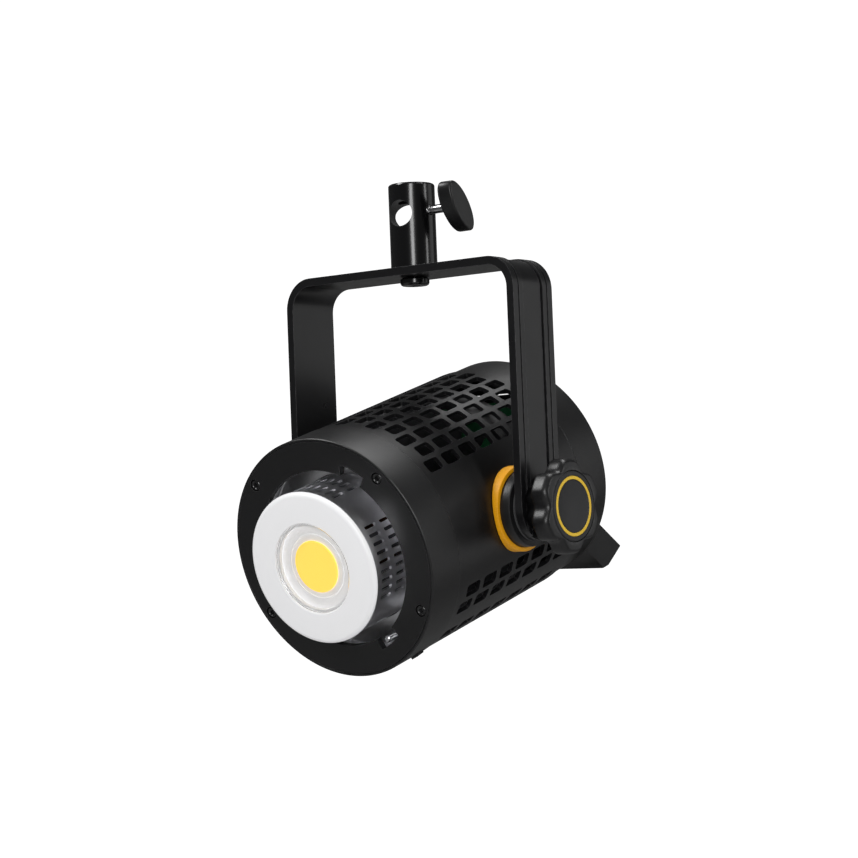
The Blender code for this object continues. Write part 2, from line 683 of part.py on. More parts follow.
def vent_openings():
    """Every vent of the housing as (centre angle, turn, low y, high y)."""
    first = BODY_FRONT + VENT_START
    rows = [(row * VENT_ROW_TURN, row % 2 * VENT_SHIFT) for row in TOP_ROWS]
    for row in BELLY_ROWS:
        turn = math.copysign(BELLY_TURN, row) if abs(row) < 20 else BELLY_TURN
        rows.append((row * VENT_ROW_TURN + turn, row % 2 * VENT_SHIFT))
    openings = []
    for angle, shift in rows:
        for i in range(VENT_COUNT):
            centre = first + shift + i * VENT_PITCH
            openings.append((angle, VENT_TURN, centre - VENT_LENGTH / 2.0, centre + VENT_LENGTH / 2.0))
    return openings


def add_housing(head):
    """The perforated middle tube."""
    skin = perforated_tube(BODY_R, BODY_FRONT + GAP, BODY_REAR, vent_openings())
    thicken(piece("housing", skin, satin_black(), head), BODY_WALL)


def notched_radii(angles):
    """The mount opening's radius at each angle, larger over the three bayonet notches."""
    radii = []
    for angle in angles:
        off = min(abs(math.remainder(angle - n, math.tau)) for n in NOTCH_ANGLES)
        radii.append(NOTCH_R if off < NOTCH_TURN / 2.0 + 1e-6 else MOUNT_R)
    return radii


def notched_angles(count):
    """Even steps round the circle, and a close pair at each side of every notch."""
    angles = {round(math.tau * i / count, 5) for i in range(count)}
    blend = math.radians(0.6)
    for notch in NOTCH_ANGLES:
        for side in (-1.0, 1.0):
            edge = notch + side * NOTCH_TURN / 2.0
            angles = {a for a in angles if abs(math.remainder(a - edge, math.tau)) > math.radians(2.0)}
            angles |= {round(edge % math.tau, 5), round((edge + side * blend) % math.tau, 5)}
    return sorted(angles)


def add_front_plate(head):
    """The flush front plate with the notched mount opening, and its four screws."""
    angles = notched_angles(45)
    rim = BEZEL_R - BEZEL_RIM - GAP
    hole = notched_radii(angles)
    rings = [
        [polar(rim, a, FACE_Y) for a in angles],
        [polar(rim, a, PLATE_BACK) for a in angles],
        [polar(r, a, PLATE_BACK) for r, a in zip(hole, angles)],
        [polar(r, a, FACE_Y) for r, a in zip(hole, angles)],
    ]
    plate = piece("front_plate", lofted(rings, closed=True), satin_black(), head)
    under = SCREW_HEAD_H + 2.0 * GAP
    outline = [(-GAP, 0.0), (-GAP, SCREW_HEAD_R + GAP), (under, SCREW_HEAD_R + GAP)]
    outline += [(under, SCREW_R + GAP), (2.0 * PLATE_THICK, SCREW_R + GAP), (2.0 * PLATE_THICK, 0.0)]
    for number, angle in enumerate(SCREW_ANGLES, 1):
        place = polar(SCREW_CIRCLE_R, angle, FACE_Y)
        combine(plate, f"screw_seat_{number}", turned(outline, "Y", TINY), "DIFFERENCE", place)
        sunk = polar(SCREW_CIRCLE_R, angle, FACE_Y + GAP)
        made = screw(
            f"plate_screw_{number}",
            head,
            sunk,
            SCREW_HEAD_R,
            SCREW_HEAD_H,
            SCREW_R,
            SCREW_LENGTH,
            "Y",
            gloss_black(),
        )
        drive(made, SCREW_KEY_R, SCREW_KEY_DEPTH, (0.0, 1.0, 0.0))


def add_bezel(head):
    """The plain front ring that holds the plate and the mount."""
    seat = PLATE_BACK + GAP
    pocket_r = BEZEL_R - BEZEL_RIM
    wall_r = BEZEL_R - BEZEL_WALL
    flange_r = MOUNT_OUT_R + GAP
    flange_back = seat + FLANGE_THICK
    outline = [(FACE_Y, pocket_r), (FACE_Y, BEZEL_R), (BODY_FRONT, BEZEL_R), (BODY_FRONT, wall_r)]
    outline += [(flange_back, wall_r), (flange_back, flange_r), (seat, flange_r), (seat, pocket_r)]
    bezel = piece("bezel_ring", turned(outline, "Y", LARGE), satin_black(), head)
    for number, angle in enumerate(SCREW_ANGLES, 1):
        place = polar(SCREW_CIRCLE_R, angle, seat - GAP)
        thread = disc(0.0, THREAD_DEPTH, SCREW_R + GAP, "Y", TINY)
        combine(bezel, f"plate_thread_{number}", thread, "DIFFERENCE", place)
    half = SLIDER_WIDTH / 2.0 + SLIDER_ROOM
    slot_start = seat + SLIDER_SETBACK - SLIDER_ROOM
    slot_end = seat + SLIDER_SETBACK + SLIDER_LENGTH + LOCK_TRAVEL + SLIDER_ROOM
    slot = block((-half, slot_start, -BEZEL_R - MM), (half, slot_end, -flange_r))
    slot_helper = combine(bezel, "release_slot", slot, "DIFFERENCE")
    slot_helper.rotation_euler.y = LOCK_ANGLE - math.pi


def add_rear_cap(head):
    """The plain rear ring, with a spigot that enters the housing."""
    spigot_r = BODY_R - BODY_WALL - GAP
    start = BODY_REAR - CAP_SPIGOT
    outline = [(start, CAP_IN_R), (start, spigot_r), (CAP_START, spigot_r), (CAP_START, CAP_R)]
    outline += [(CAP_REAR - 2.0 * MM, CAP_R), (CAP_REAR - 0.6 * MM, CAP_R - 0.6 * MM)]
    outline += [(CAP_REAR, CAP_R - 2.0 * MM), (CAP_REAR, CAP_IN_R)]
    piece("rear_cap", turned(outline, "Y", LARGE), satin_black(), head)


def foot_ring(inset, y, rise):
    """One section of the foot's frame: a trapezium with its wide side down."""
    top_x, top_z = FOOT_TOP
    low_x, low_z = FOOT_BOTTOM
    lean = (low_x - top_x) / (top_z - low_z)
    tuck = inset * (math.hypot(1.0, lean) - lean)
    low_x -= rise * lean
    low_z += rise
    widest = low_x - inset * (math.hypot(1.0, lean) + lean)
    points = [
        (top_x - tuck, top_z - inset),
        (widest - FOOT_CORNER * lean, low_z + inset + FOOT_CORNER),
        (widest - FOOT_CORNER, low_z + inset),
    ]
    both = [(-x, z) for x, z in reversed(points)]
    return [Vector((x, y, z)) for x, z in points + both]


def add_foot(head):
    """The hollow bracket that stands behind the rear cap."""
    front = CAP_REAR + GAP
    level = front + FOOT_LEVEL
    rear = front + FOOT_LENGTH
    rings = [
        foot_ring(0.0, front, 0.0),
        foot_ring(0.0, level, 0.0),
        foot_ring(0.0, rear, FOOT_RISE),
        foot_ring(FOOT_WALL, rear, FOOT_RISE),
        foot_ring(FOOT_WALL, level, 0.0),
        foot_ring(FOOT_WALL, front, 0.0),
    ]
    piece("foot", lofted(rings, closed=True), satin_black(), head)


# ---------------------------------------------------------------- lamp module and mount


def add_barrel(head):
    """The slotted barrel with its white front ring, glass and light-emitting disc."""
    openings = []
    turn = SLOT_WIDTH / BARREL_R
    for group in range(4):
        for i in range(SLOTS_IN_GROUP):
            angle = group * math.pi / 2.0 + (i - (SLOTS_IN_GROUP - 1) / 2.0) * SLOT_TURN
            for centre, length in SLOT_ROWS:
                low = RING_FACE + centre - length / 2.0
                openings.append((angle, turn, low, low + length))
    skin = perforated_tube(BARREL_R, RING_BACK + GAP, MOUNT_BACK + 4.0 * MM, openings)
    thicken(piece("led_barrel", skin, aluminium(), head), BARREL_WALL)
    lip_out = BARREL_R - BARREL_WALL - GAP
    lip_in = GLASS_R - 1.5 * MM
    glass_back = RING_FACE + 0.6 * MM + GLASS_THICK
    outline = [(RING_FACE, GLASS_R + GAP), (RING_FACE, RING_R - 1.4 * MM)]
    outline += [(RING_FACE + 0.5 * MM, RING_R - 0.4 * MM), (RING_FACE + 1.5 * MM, RING_R)]
    lip_back = RING_BACK + 1.8 * MM
    outline += [(RING_BACK, RING_R), (RING_BACK, lip_out), (lip_back, lip_out), (lip_back, lip_in)]
    outline += [(glass_back + GAP, lip_in), (glass_back + GAP, GLASS_R + GAP)]
    piece("led_front_ring", turned(outline, "Y", WIDE), white(), head)
    glass = disc(glass_back - GLASS_THICK, glass_back, GLASS_R, "Y", WIDE)
    piece("front_glass", glass, finish("glass", (0.9, 0.9, 0.9), 0.05), head)
    board = EMITTER_FACE + 1.0 * MM
    emitter = disc(EMITTER_FACE, board - GAP, EMITTER_R, "Y", MEDIUM)
    piece("cob_emitter", emitter, finish("phosphor", (0.95, 0.6, 0.1), 0.5), head)
    piece("cob_board", disc(board, board + BOARD_THICK, lip_out - 2.0 * MM, "Y", MEDIUM), white(), head)


def pipe_places(along):
    """Where the heat pipes' axes stand."""
    return [polar(PIPE_CIRCLE_R, math.tau * (i + 0.5) / PIPE_COUNT, along) for i in range(PIPE_COUNT)]


def add_cooling(head):
    """Heat spreader behind the emitter, heat pipes, finned heat sink and fan."""
    start = EMITTER_FACE + 1.0 * MM + BOARD_THICK + GAP
    spreader = piece(
        "heat_spreader", disc(start, start + SPREADER_THICK, SPREADER_R, "Y", MEDIUM), aluminium(), head
    )
    pipe_start = start + PIPE_SINK
    for number, place in enumerate(pipe_places(0.0), 1):
        hole = disc(pipe_start - GAP, start + 2.0 * SPREADER_THICK, PIPE_R + GAP, "Y", TINY)
        combine(spreader, f"pipe_seat_{number}", hole, "DIFFERENCE", place)
        pipe = disc(pipe_start, SINK_REAR, PIPE_R, "Y", TINY)
        piece(f"heat_pipe_{number}", pipe, copper(), head, place)
    half = math.asin(FIN_THICK / 2.0 / SINK_HUB_R)
    tip = math.asin(FIN_THICK / 2.0 / SINK_R)
    points = []
    for i in range(SINK_FINS):
        middle = math.tau * (i + 0.5) / SINK_FINS
        points += [polar(SINK_HUB_R, middle - half, SINK_FRONT), polar(SINK_R, middle - tip, SINK_FRONT)]
        points += [polar(SINK_R, middle + tip, SINK_FRONT), polar(SINK_HUB_R, middle + half, SINK_FRONT)]
    bm = bmesh.new()
    prism(bm, points, Vector((0.0, SINK_REAR - SINK_FRONT, 0.0)))
    sink = piece("heatsink", bm, finish("dark_aluminium", (0.1, 0.1, 0.11), 0.4, 1.0), head)
    for number, place in enumerate(pipe_places(0.0), 1):
        hole = disc(SINK_FRONT - MM, SINK_REAR + MM, PIPE_R + GAP, "Y", TINY)
        combine(sink, f"pipe_hole_{number}", hole, "DIFFERENCE", place)


def add_fan(head):
    """The axial fan behind the heat sink: a frame with a motor mount, and the bladed rotor."""
    rear = FAN_START + FAN_DEPTH
    ring = tube(FAN_START, rear, FAN_R - FAN_WALL, FAN_R, "Y", MEDIUM)
    frame = piece("fan_frame", ring, black_plastic(), head)
    reach = FAN_R - FAN_WALL / 2.0
    half, front = FAN_SPOKE[0] / 2.0, rear - FAN_SPOKE[1]
    level = block((-reach, front, -half), (reach, rear, half))
    combine(frame, "fan_spokes", level, "UNION")
    upright = block((-half, front, -reach), (half, rear, reach))
    combine(frame, "fan_uprights", upright, "UNION")
    motor_plate = disc(front - 0.1 * MM, rear, FAN_HUB_R, "Y", ROUND)
    combine(frame, "fan_motor_plate", motor_plate, "UNION")
    hub = disc(FAN_START + MM, rear - FAN_HUB_GAP, FAN_HUB_R, "Y", ROUND)
    rotor = piece("fan_rotor", hub, black_plastic(), head)
    blades = bmesh.new()
    root, tip = FAN_HUB_R * 0.8, FAN_R - FAN_TIP_GAP
    middle = FAN_START + 1.5 * MM + FAN_CHORD / 2.0
    shape = Matrix.Diagonal((FAN_BLADE_THICK, FAN_CHORD, tip - root, 1.0))
    out = Matrix.Translation((0.0, middle, (tip + root) / 2.0))
    pitch = Matrix.Rotation(FAN_PITCH, 4, "Z")
    for i in range(FAN_BLADES):
        turn = Matrix.Rotation(math.tau * i / FAN_BLADES, 4, "Y")
        bmesh.ops.create_cube(blades, size=1.0, matrix=turn @ out @ pitch @ shape)
    combine(rotor, "fan_blades", blades, "UNION")


def add_electronics(head):
    """Driver board with its transformer and capacitor, and the control board."""
    half_x, half_z = DRIVER_SIZE[0] / 2.0, DRIVER_SIZE[1] / 2.0
    board = block((-half_x, DRIVER_Y, -half_z), (half_x, DRIVER_Y + BOARD_THICK, half_z))
    piece("driver_board", board, circuit_green(), head)
    top = DRIVER_Y - GAP
    (low_x, low_z), (high_x, high_z) = TRANSFORMER_LOW, TRANSFORMER_HIGH
    transformer = block((low_x, top - TALL_PARTS, low_z), (high_x, top, high_z))
    piece("transformer", transformer, finish("varnish", (0.3, 0.2, 0.05), 0.5), head)
    capacitor = disc(top - TALL_PARTS, top, CAPACITOR_R, "Y", SMALL)
    place = (CAPACITOR_PLACE[0], 0.0, CAPACITOR_PLACE[1])
    piece("capacitor", capacitor, black_plastic(), head, place)
    (low_x, low_z), (high_x, high_z) = CONTROL_BOARD_LOW, CONTROL_BOARD_HIGH
    start = PANEL_FRONT - CONTROL_BOARD_GAP
    control = block((low_x, start, low_z), (high_x, start + BOARD_THICK, high_z))
    piece("control_board", control, circuit_green(), head)


def add_mount(head):
    """The cup behind the plate's opening, three leaf springs, and the lock pin with its slider."""
    inner = MOUNT_OUT_R - MOUNT_WALL
    front = PLATE_BACK + GAP
    floor = MOUNT_BACK - MOUNT_FLOOR
    hole_r = BARREL_R + 2.0 * GAP
    outline = [(front, inner), (front, MOUNT_OUT_R), (MOUNT_BACK, MOUNT_OUT_R)]
    outline += [(MOUNT_BACK, hole_r), (floor, hole_r), (floor, inner)]
    cup = piece("mount_ring", turned(outline, "Y", LARGE), aluminium(), head)
    pin_hole = disc(floor - MM, MOUNT_BACK + MM, LOCK_PIN_R + GAP, "Y", TINY)
    combine(cup, "lock_pin_hole", pin_hole, "DIFFERENCE", polar(LOCK_CIRCLE_R, LOCK_ANGLE))
    for number, notch in enumerate(NOTCH_ANGLES, 1):
        shares = [i / SPRING_STEPS for i in range(SPRING_STEPS + 1)]
        turns = [notch - SPRING_LEAD + SPRING_TURN * s for s in shares]
        backs = [inner - SPRING_GAP - SPRING_BOW * math.sin(math.pi * s) for s in shares]
        start = front + SPRING_SETBACK
        back = [polar(r, a, start) for r, a in zip(backs, turns)]
        face = [polar(r - SPRING_THICK, a, start) for r, a in zip(backs, turns)]
        bm = bmesh.new()
        prism(bm, back + face[::-1], Vector((0.0, SPRING_WIDTH, 0.0)))
        piece(f"mount_spring_{number}", bm, steel(), head)
    arm_y = MOUNT_BACK + LOCK_ARM_GAP
    arm_end = arm_y + LOCK_ARM_THICK
    carrier = empty("lock_carrier", head)
    pin = disc(FACE_Y + LOCK_PIN_SINK, arm_y - GAP, LOCK_PIN_R, "Y", TINY)
    piece("lock_pin", pin, steel(), carrier, polar(LOCK_CIRCLE_R, LOCK_ANGLE))
    width = SLIDER_WIDTH / 2.0
    outside = BEZEL_R + SLIDER_PROUD
    shelf = MOUNT_OUT_R + 2.0 * GAP
    neck = front + SLIDER_SETBACK
    slider = block((-width, neck, -outside), (width, neck + SLIDER_LENGTH, -shelf))
    body = piece("release_slider", slider, black_plastic(), carrier)
    body.rotation_euler.y = LOCK_ANGLE - math.pi
    rail = block((-width, neck, -shelf - LOCK_ARM_THICK), (width, arm_end, -shelf))
    combine(body, "slider_rail", rail, "UNION")
    tip = LOCK_ARM_OVERLAP - LOCK_CIRCLE_R
    arm = block((-width, arm_y, -shelf - LOCK_ARM_THICK), (width, arm_end, tip))
    combine(body, "slider_arm", arm, "UNION")


# ---------------------------------------------------------------- rear panel and controls


def add_rear_panel(head):
    """The panel inside the rear cap, with an opening for each control."""
    plate = disc(PANEL_FRONT, PANEL_REAR, CAP_IN_R - GAP, "Y", LARGE)
    panel = piece("rear_panel", plate, black_plastic(), head)
    low, high = PANEL_FRONT - MM, PANEL_REAR + MM
    windows = {
        "display_hole": (DISPLAY_SIZE, DISPLAY_PLACE),
        "rocker_hole": (ROCKER_SIZE, ROCKER_PLACE),
        "inlet_hole": (INLET_SIZE, INLET_PLACE),
    }
    for name, (size, place) in windows.items():
        room = ROCKER_SWING * ROCKER_HALF_DEPTH + CONTROL_CLEARANCE
        half_x = size[0] / 2.0 + room
        half_z = size[1] / 2.0 + room
        hole = block((-half_x, low, -half_z), (half_x, high, half_z))
        combine(panel, name, hole, "DIFFERENCE", (place[0], 0.0, place[1]))
    for name, place in DIAL_PLACES.items():
        hole = disc(low, high, DIAL_SHAFT_R + CONTROL_CLEARANCE, "Y", TINY)
        combine(panel, name + "_hole", hole, "DIFFERENCE", (place[0], 0.0, place[1]))
    for number, place in enumerate(BUTTON_PLACES, 1):
        hole = disc(low, high, BUTTON_R + CONTROL_CLEARANCE, "Y", SMALL)
        combine(panel, f"button_hole_{number}", hole, "DIFFERENCE", (place[0], 0.0, place[1]))


def add_controls(head):
    """Display window, two dials, three buttons, the power rocker and the mains inlet."""
    half_x, half_z = DISPLAY_SIZE[0] / 2.0, DISPLAY_SIZE[1] / 2.0
    window = block((-half_x, PANEL_FRONT, -half_z), (half_x, PANEL_REAR, half_z))
    piece("display_window", window, gloss_black(), head, (DISPLAY_PLACE[0], 0.0, DISPLAY_PLACE[1]))
    for name, place in DIAL_PLACES.items():
        base = PANEL_REAR + 2.0 * GAP
        inside = PANEL_FRONT - DIAL_SHAFT_DEPTH
        outline = [(inside, 0.0), (inside, DIAL_SHAFT_R), (base, DIAL_SHAFT_R)]
        outline += [(base, DIAL_R), (base + DIAL_PROUD - MM, DIAL_R), (base + DIAL_PROUD, DIAL_R - MM)]
        outline += [(base + DIAL_PROUD, 0.0)]
        piece(name, turned(outline, "Y", ROUND), black_plastic(), head, (place[0], 0.0, place[1]))
    for number, place in enumerate(BUTTON_PLACES, 1):
        cap = disc(PANEL_FRONT, PANEL_REAR + BUTTON_PROUD, BUTTON_R, "Y", SMALL)
        piece(f"button_{number}", cap, black_plastic(), head, (place[0], 0.0, place[1]))
    half_x, half_z = ROCKER_SIZE[0] / 2.0, ROCKER_SIZE[1] / 2.0
    middle = (PANEL_FRONT + PANEL_REAR) / 2.0
    hinge = empty("rocker_axis", head, (ROCKER_PLACE[0], middle, ROCKER_PLACE[1]), -ROCKER_SWING)
    crown = PANEL_THICK / 2.0 + ROCKER_CROWN
    side = [(ROCKER_BASE, -half_z), (crown, -half_z), (crown - ROCKER_DIP, 0.0)]
    side += [(crown, half_z), (ROCKER_BASE, half_z)]
    bm = bmesh.new()
    prism(bm, [Vector((-half_x, y, z)) for y, z in side], Vector((ROCKER_SIZE[0], 0.0, 0.0)))
    piece("power_rocker", bm, black_plastic(), hinge)
    half_x, half_z = INLET_SIZE[0] / 2.0, INLET_SIZE[1] / 2.0
    inlet = block((-half_x, PANEL_REAR - INLET_BODY, -half_z), (half_x, PANEL_REAR + MM, half_z))
    made = piece("mains_inlet", inlet, black_plastic(), head, (INLET_PLACE[0], 0.0, INLET_PLACE[1]))
    half_x, half_z = INLET_SOCKET[0] / 2.0, INLET_SOCKET[1] / 2.0
    floor = PANEL_REAR + MM - INLET_DEPTH
    cavity = block((-half_x, floor, -half_z), (half_x, PANEL_REAR + 3.0 * MM, half_z))
    combine(made, "inlet_socket", cavity, "DIFFERENCE")


def main():
    """Builds the whole light."""
    for old in list(bpy.data.objects):
        bpy.data.objects.remove(old, do_unlink=True)
    stand = empty("yoke_frame", None, (0.0, 0.0, -MOUTH_Z))
    head = empty("head_frame", stand, (0.0, 0.0, 0.0), HEAD_TILT)
    add_yoke(stand)
    add_receiver(stand)
    add_clamp(stand)
    add_tilt_knob(stand)
    add_pivots(head)
    add_front_plate(head)
    add_bezel(head)
    add_mount(head)
    add_housing(head)
    add_rear_cap(head)
    add_foot(head)
    add_barrel(head)
    add_cooling(head)
    add_fan(head)
    add_electronics(head)
    add_rear_panel(head)
    add_controls(head)


if __name__ == "__main__":
    main()
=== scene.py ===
"""Looks of an open-face LED studio light: a round perforated head in a U yoke, under a spigot receiver.

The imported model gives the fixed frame.  Pieces are built round the tilt pivot, in metres, in one of
two spaces: upright for the yoke, and nose-down by the head's tilt for all that the head carries.
The light shines towards -Y.  Angles round the lamp's axis run from straight up towards the tilt
knob's side, which is +X.
"""

import json
import logging
import math
import sys
from collections.abc import Iterable, Sequence
from dataclasses import dataclass
from enum import Enum

import bmesh
import bpy
from mathutils import Matrix, Vector

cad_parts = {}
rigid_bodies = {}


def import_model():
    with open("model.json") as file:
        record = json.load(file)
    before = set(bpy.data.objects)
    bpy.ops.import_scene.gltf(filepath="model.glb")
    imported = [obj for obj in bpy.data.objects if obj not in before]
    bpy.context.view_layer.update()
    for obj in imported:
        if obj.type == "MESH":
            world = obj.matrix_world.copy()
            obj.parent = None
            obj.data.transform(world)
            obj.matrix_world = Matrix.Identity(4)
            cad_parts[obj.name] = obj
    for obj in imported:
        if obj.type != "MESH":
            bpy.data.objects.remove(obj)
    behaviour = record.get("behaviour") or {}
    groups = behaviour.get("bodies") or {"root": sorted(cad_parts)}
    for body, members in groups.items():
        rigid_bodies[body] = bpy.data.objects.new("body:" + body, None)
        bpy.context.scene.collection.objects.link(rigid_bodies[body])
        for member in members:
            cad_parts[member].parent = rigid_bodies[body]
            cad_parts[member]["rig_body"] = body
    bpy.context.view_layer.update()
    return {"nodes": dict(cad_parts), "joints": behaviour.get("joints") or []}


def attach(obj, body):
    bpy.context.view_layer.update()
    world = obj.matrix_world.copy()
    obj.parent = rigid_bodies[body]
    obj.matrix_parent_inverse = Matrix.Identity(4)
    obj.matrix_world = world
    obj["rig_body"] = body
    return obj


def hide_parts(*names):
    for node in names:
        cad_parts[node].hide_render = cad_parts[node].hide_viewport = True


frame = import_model()

log = logging.getLogger("studio_light")

MM = 0.001
WELD = 1e-7
ANGLE_SLIP = 1e-4  # angles closer than this are one
GAP = 0.3 * MM  # between pieces that touch
ROUND_STEPS = 128  # of a large turned piece
SMALL_STEPS = 48
HOLE_STEPS = 24
ROD_STEPS = 32
SCREW_STEPS = 40
BOLT_STEPS = 64
DISC_STEPS = 96
WIDE_STEPS = 192
HEXAGON = 6
SOFT_ANGLE = math.radians(28.0)  # edges sharper than this are rounded
COAT_ROUGHNESS = 0.08
GLASS_IOR = 1.45
DRIFT_SCALE = 24.0  # of the slow change in brightness
SMEAR_SCALE = 70.0  # of the change in gloss
PATCH_SCALE = 260.0  # of the patches that edge wear and its painted highlight come in
PATCH_LIMITS = {"From Min": 0.3, "From Max": 0.6}  # noise where a patch starts, and where it is whole
BEND_LIMITS = {"From Min": 0.01, "From Max": 0.12}  # bend of the eased normal where edge wear and its painted highlight start, and are whole
LATHE_DRIFT = 0.02  # share of the sideways place that breaks up turned rings

JOINTS = {joint["name"]: joint for joint in frame["joints"]}
PIVOT = Vector(JOINTS["head_tilt"]["pos_m"])
LAMP_AXIS = Vector(JOINTS["fan_spin"]["axis"])
HEAD_TILT = math.atan2(LAMP_AXIS.z, LAMP_AXIS.y)
UPRIGHT = Matrix.Translation(PIVOT)
HEAD = UPRIGHT @ Matrix.Rotation(HEAD_TILT, 4, "X")

Colour = tuple[float, float, float]
Outline = Sequence[tuple[float, float]]

# Sizes that more than one sub-assembly shares.
BODY_RADIUS = 69.6 * MM
BEZEL_RADIUS = 70.0 * MM
BARREL_RADIUS = 43.4 * MM
PLATE_FACE = -87.1 * MM
PLATE_THICK = 4.0 * MM
STRAP_THICK = 4.8 * MM
LEG_FACE = 85.5 * MM
BOLT_KEY = 3.6 * MM
RECEIVER_MOUTH = 193.9 * MM
LOCK_ANGLE = math.radians(152.0)
NOTCH_ANGLES = tuple(math.radians(a) for a in (30.0, 150.0, 270.0))


class Axis(Enum):
    """The line a piece is turned round, with the direction its radius is drawn in."""

    X = ((1.0, 0.0, 0.0), (0.0, 0.0, 1.0))
    Y = ((0.0, 1.0, 0.0), (0.0, 0.0, 1.0))
    Z = ((0.0, 0.0, 1.0), (1.0, 0.0, 0.0))


# ---------------------------------------------------------------- finishes


class Grain(Enum):
    """The pattern that a finish's relief follows."""

    FINE = (0.0, False)
    LEATHER = (1.0, False)
    MOTTLED = (0.5, False)
    TURNED = (0.0, True)

    @property
    def cells(self) -> float:
        """Share of rounded cells in the relief; the rest is plain noise."""
        return self.value[0]

    @property
    def lathed(self) -> bool:
        """Whether the marks run in rings round the lamp's axis."""
        return self.value[1]


class Wiring:
    """Adds nodes to a tree and joins them."""

    def __init__(self, tree: bpy.types.NodeTree) -> None:
        """Keeps the tree that the nodes go into."""
        self.tree = tree

    def add(self, kind: str, inputs: dict | None = None, **settings: object) -> bpy.types.Node:
        """Adds one node.

        Args:
            kind: Blender's type name of the node.
            inputs: A socket to link, or a constant to set, for each input's name or number.
            **settings: Properties of the node.

        Returns:
            The new node.
        """
        made = self.tree.nodes.new(kind)
        for name, value in settings.items():
            setattr(made, name, value)
        for key, value in (inputs or {}).items():
            if isinstance(value, bpy.types.NodeSocket):
                self.tree.links.new(value, made.inputs[key])
            else:
                made.inputs[key].default_value = value
        return made

    def math(self, operation: str, first: object, second: object = 0.0) -> bpy.types.NodeSocket:
        """Adds a Math node."""
        return self.add("ShaderNodeMath", {0: first, 1: second}, operation=operation).outputs[0]

    def blend(self, share: object, first: object, second: object, mode: str = "MIX") -> bpy.types.NodeSocket:
        """Adds a colour Mix node.

        Args:
            share: How much of the second colour shows.
            first: The first colour or socket.
            second: The second colour or socket.
            mode: The node's blend type.

        Returns:
            The mixed colour's socket.
        """
        made = self.add("ShaderNodeMix", data_type="RGBA", blend_type=mode)
        for number, value in ((0, share), (6, first), (7, second)):
            if isinstance(value, bpy.types.NodeSocket):
                self.tree.links.new(value, made.inputs[number])
            else:
                made.inputs[number].default_value = value
        return made.outputs[2]


def new_group(
    name: str, inputs: dict[str, str], outputs: dict[str, str]
) -> tuple[Wiring, dict, bpy.types.Node]:
    """Starts a shader node group.

    Args:
        name: The group's name.
        inputs: Socket kind for each input's name.
        outputs: Socket kind for each output's name.

    Returns:
        Its wiring, its inputs by name, and its output node.
    """
    tree = bpy.data.node_groups.new(name, "ShaderNodeTree")
    for direction, sockets in (("INPUT", inputs), ("OUTPUT", outputs)):
        for socket, kind in sockets.items():
            tree.interface.new_socket(name=socket, in_out=direction, socket_type=f"NodeSocket{kind}")
    wiring = Wiring(tree)
    source = wiring.add("NodeGroupInput")
    return wiring, {socket.name: socket for socket in source.outputs}, wiring.add("NodeGroupOutput")


def grain_group() -> bpy.types.NodeTree:
    """Builds the group of relief, colour drift and gloss drift that every finish uses.

    Returns:
        The group, built the first time it is asked for.
    """
    name = "surface_grain"
    if name in bpy.data.node_groups:
        return bpy.data.node_groups[name]
    given = {"Vector": "Vector", "Size": "Float", "Cells": "Float", "Colour": "Color", "Variation": "Float"}
    given |= {"Roughness": "Float", "Spread": "Float"}
    made = {"Colour": "Color", "Roughness": "Float", "Height": "Float"}
    wiring, ins, out = new_group(name, given, made)
    scale = wiring.math("DIVIDE", 1.0, ins["Size"])
    grown = wiring.add("ShaderNodeVectorMath", {0: ins["Vector"], "Scale": scale}, operation="SCALE").outputs[0]
    noise = wiring.add("ShaderNodeTexNoise", {"Vector": grown, "Scale": 1.0, "Detail": 3.0, "Roughness": 0.6})
    cells = wiring.add("ShaderNodeTexVoronoi", {"Vector": grown, "Scale": 1.0, "Smoothness": 0.5}, feature="SMOOTH_F1")
    domes = wiring.math("SUBTRACT", 1.0, cells.outputs["Distance"])
    height = wiring.add("ShaderNodeMix", {0: ins["Cells"], 2: noise.outputs[0], 3: domes}, data_type="FLOAT")
    drift = wiring.add("ShaderNodeTexNoise", {"Vector": ins["Vector"], "Scale": DRIFT_SCALE, "Detail": 4.0})
    swing = wiring.math("MULTIPLY", wiring.math("SUBTRACT", drift.outputs[0], 0.5), ins["Variation"])
    pits = wiring.math("MULTIPLY", wiring.math("SUBTRACT", height.outputs[0], 0.5), ins["Variation"])
    value = wiring.math("ADD", wiring.math("ADD", swing, pits), 1.0)
    hue = wiring.add("ShaderNodeHueSaturation", {"Color": ins["Colour"], "Value": value})
    smear = wiring.add("ShaderNodeTexNoise", {"Vector": ins["Vector"], "Scale": SMEAR_SCALE, "Detail": 3.0})
    change = wiring.math("MULTIPLY", wiring.math("SUBTRACT", smear.outputs[0], 0.5), ins["Spread"])
    rough = wiring.add("ShaderNodeMath", {0: ins["Roughness"], 1: change}, operation="ADD", use_clamp=True)
    wiring.tree.links.new(hue.outputs[0], out.inputs["Colour"])
    wiring.tree.links.new(rough.outputs[0], out.inputs["Roughness"])
    wiring.tree.links.new(height.outputs[0], out.inputs["Height"])
    return wiring.tree


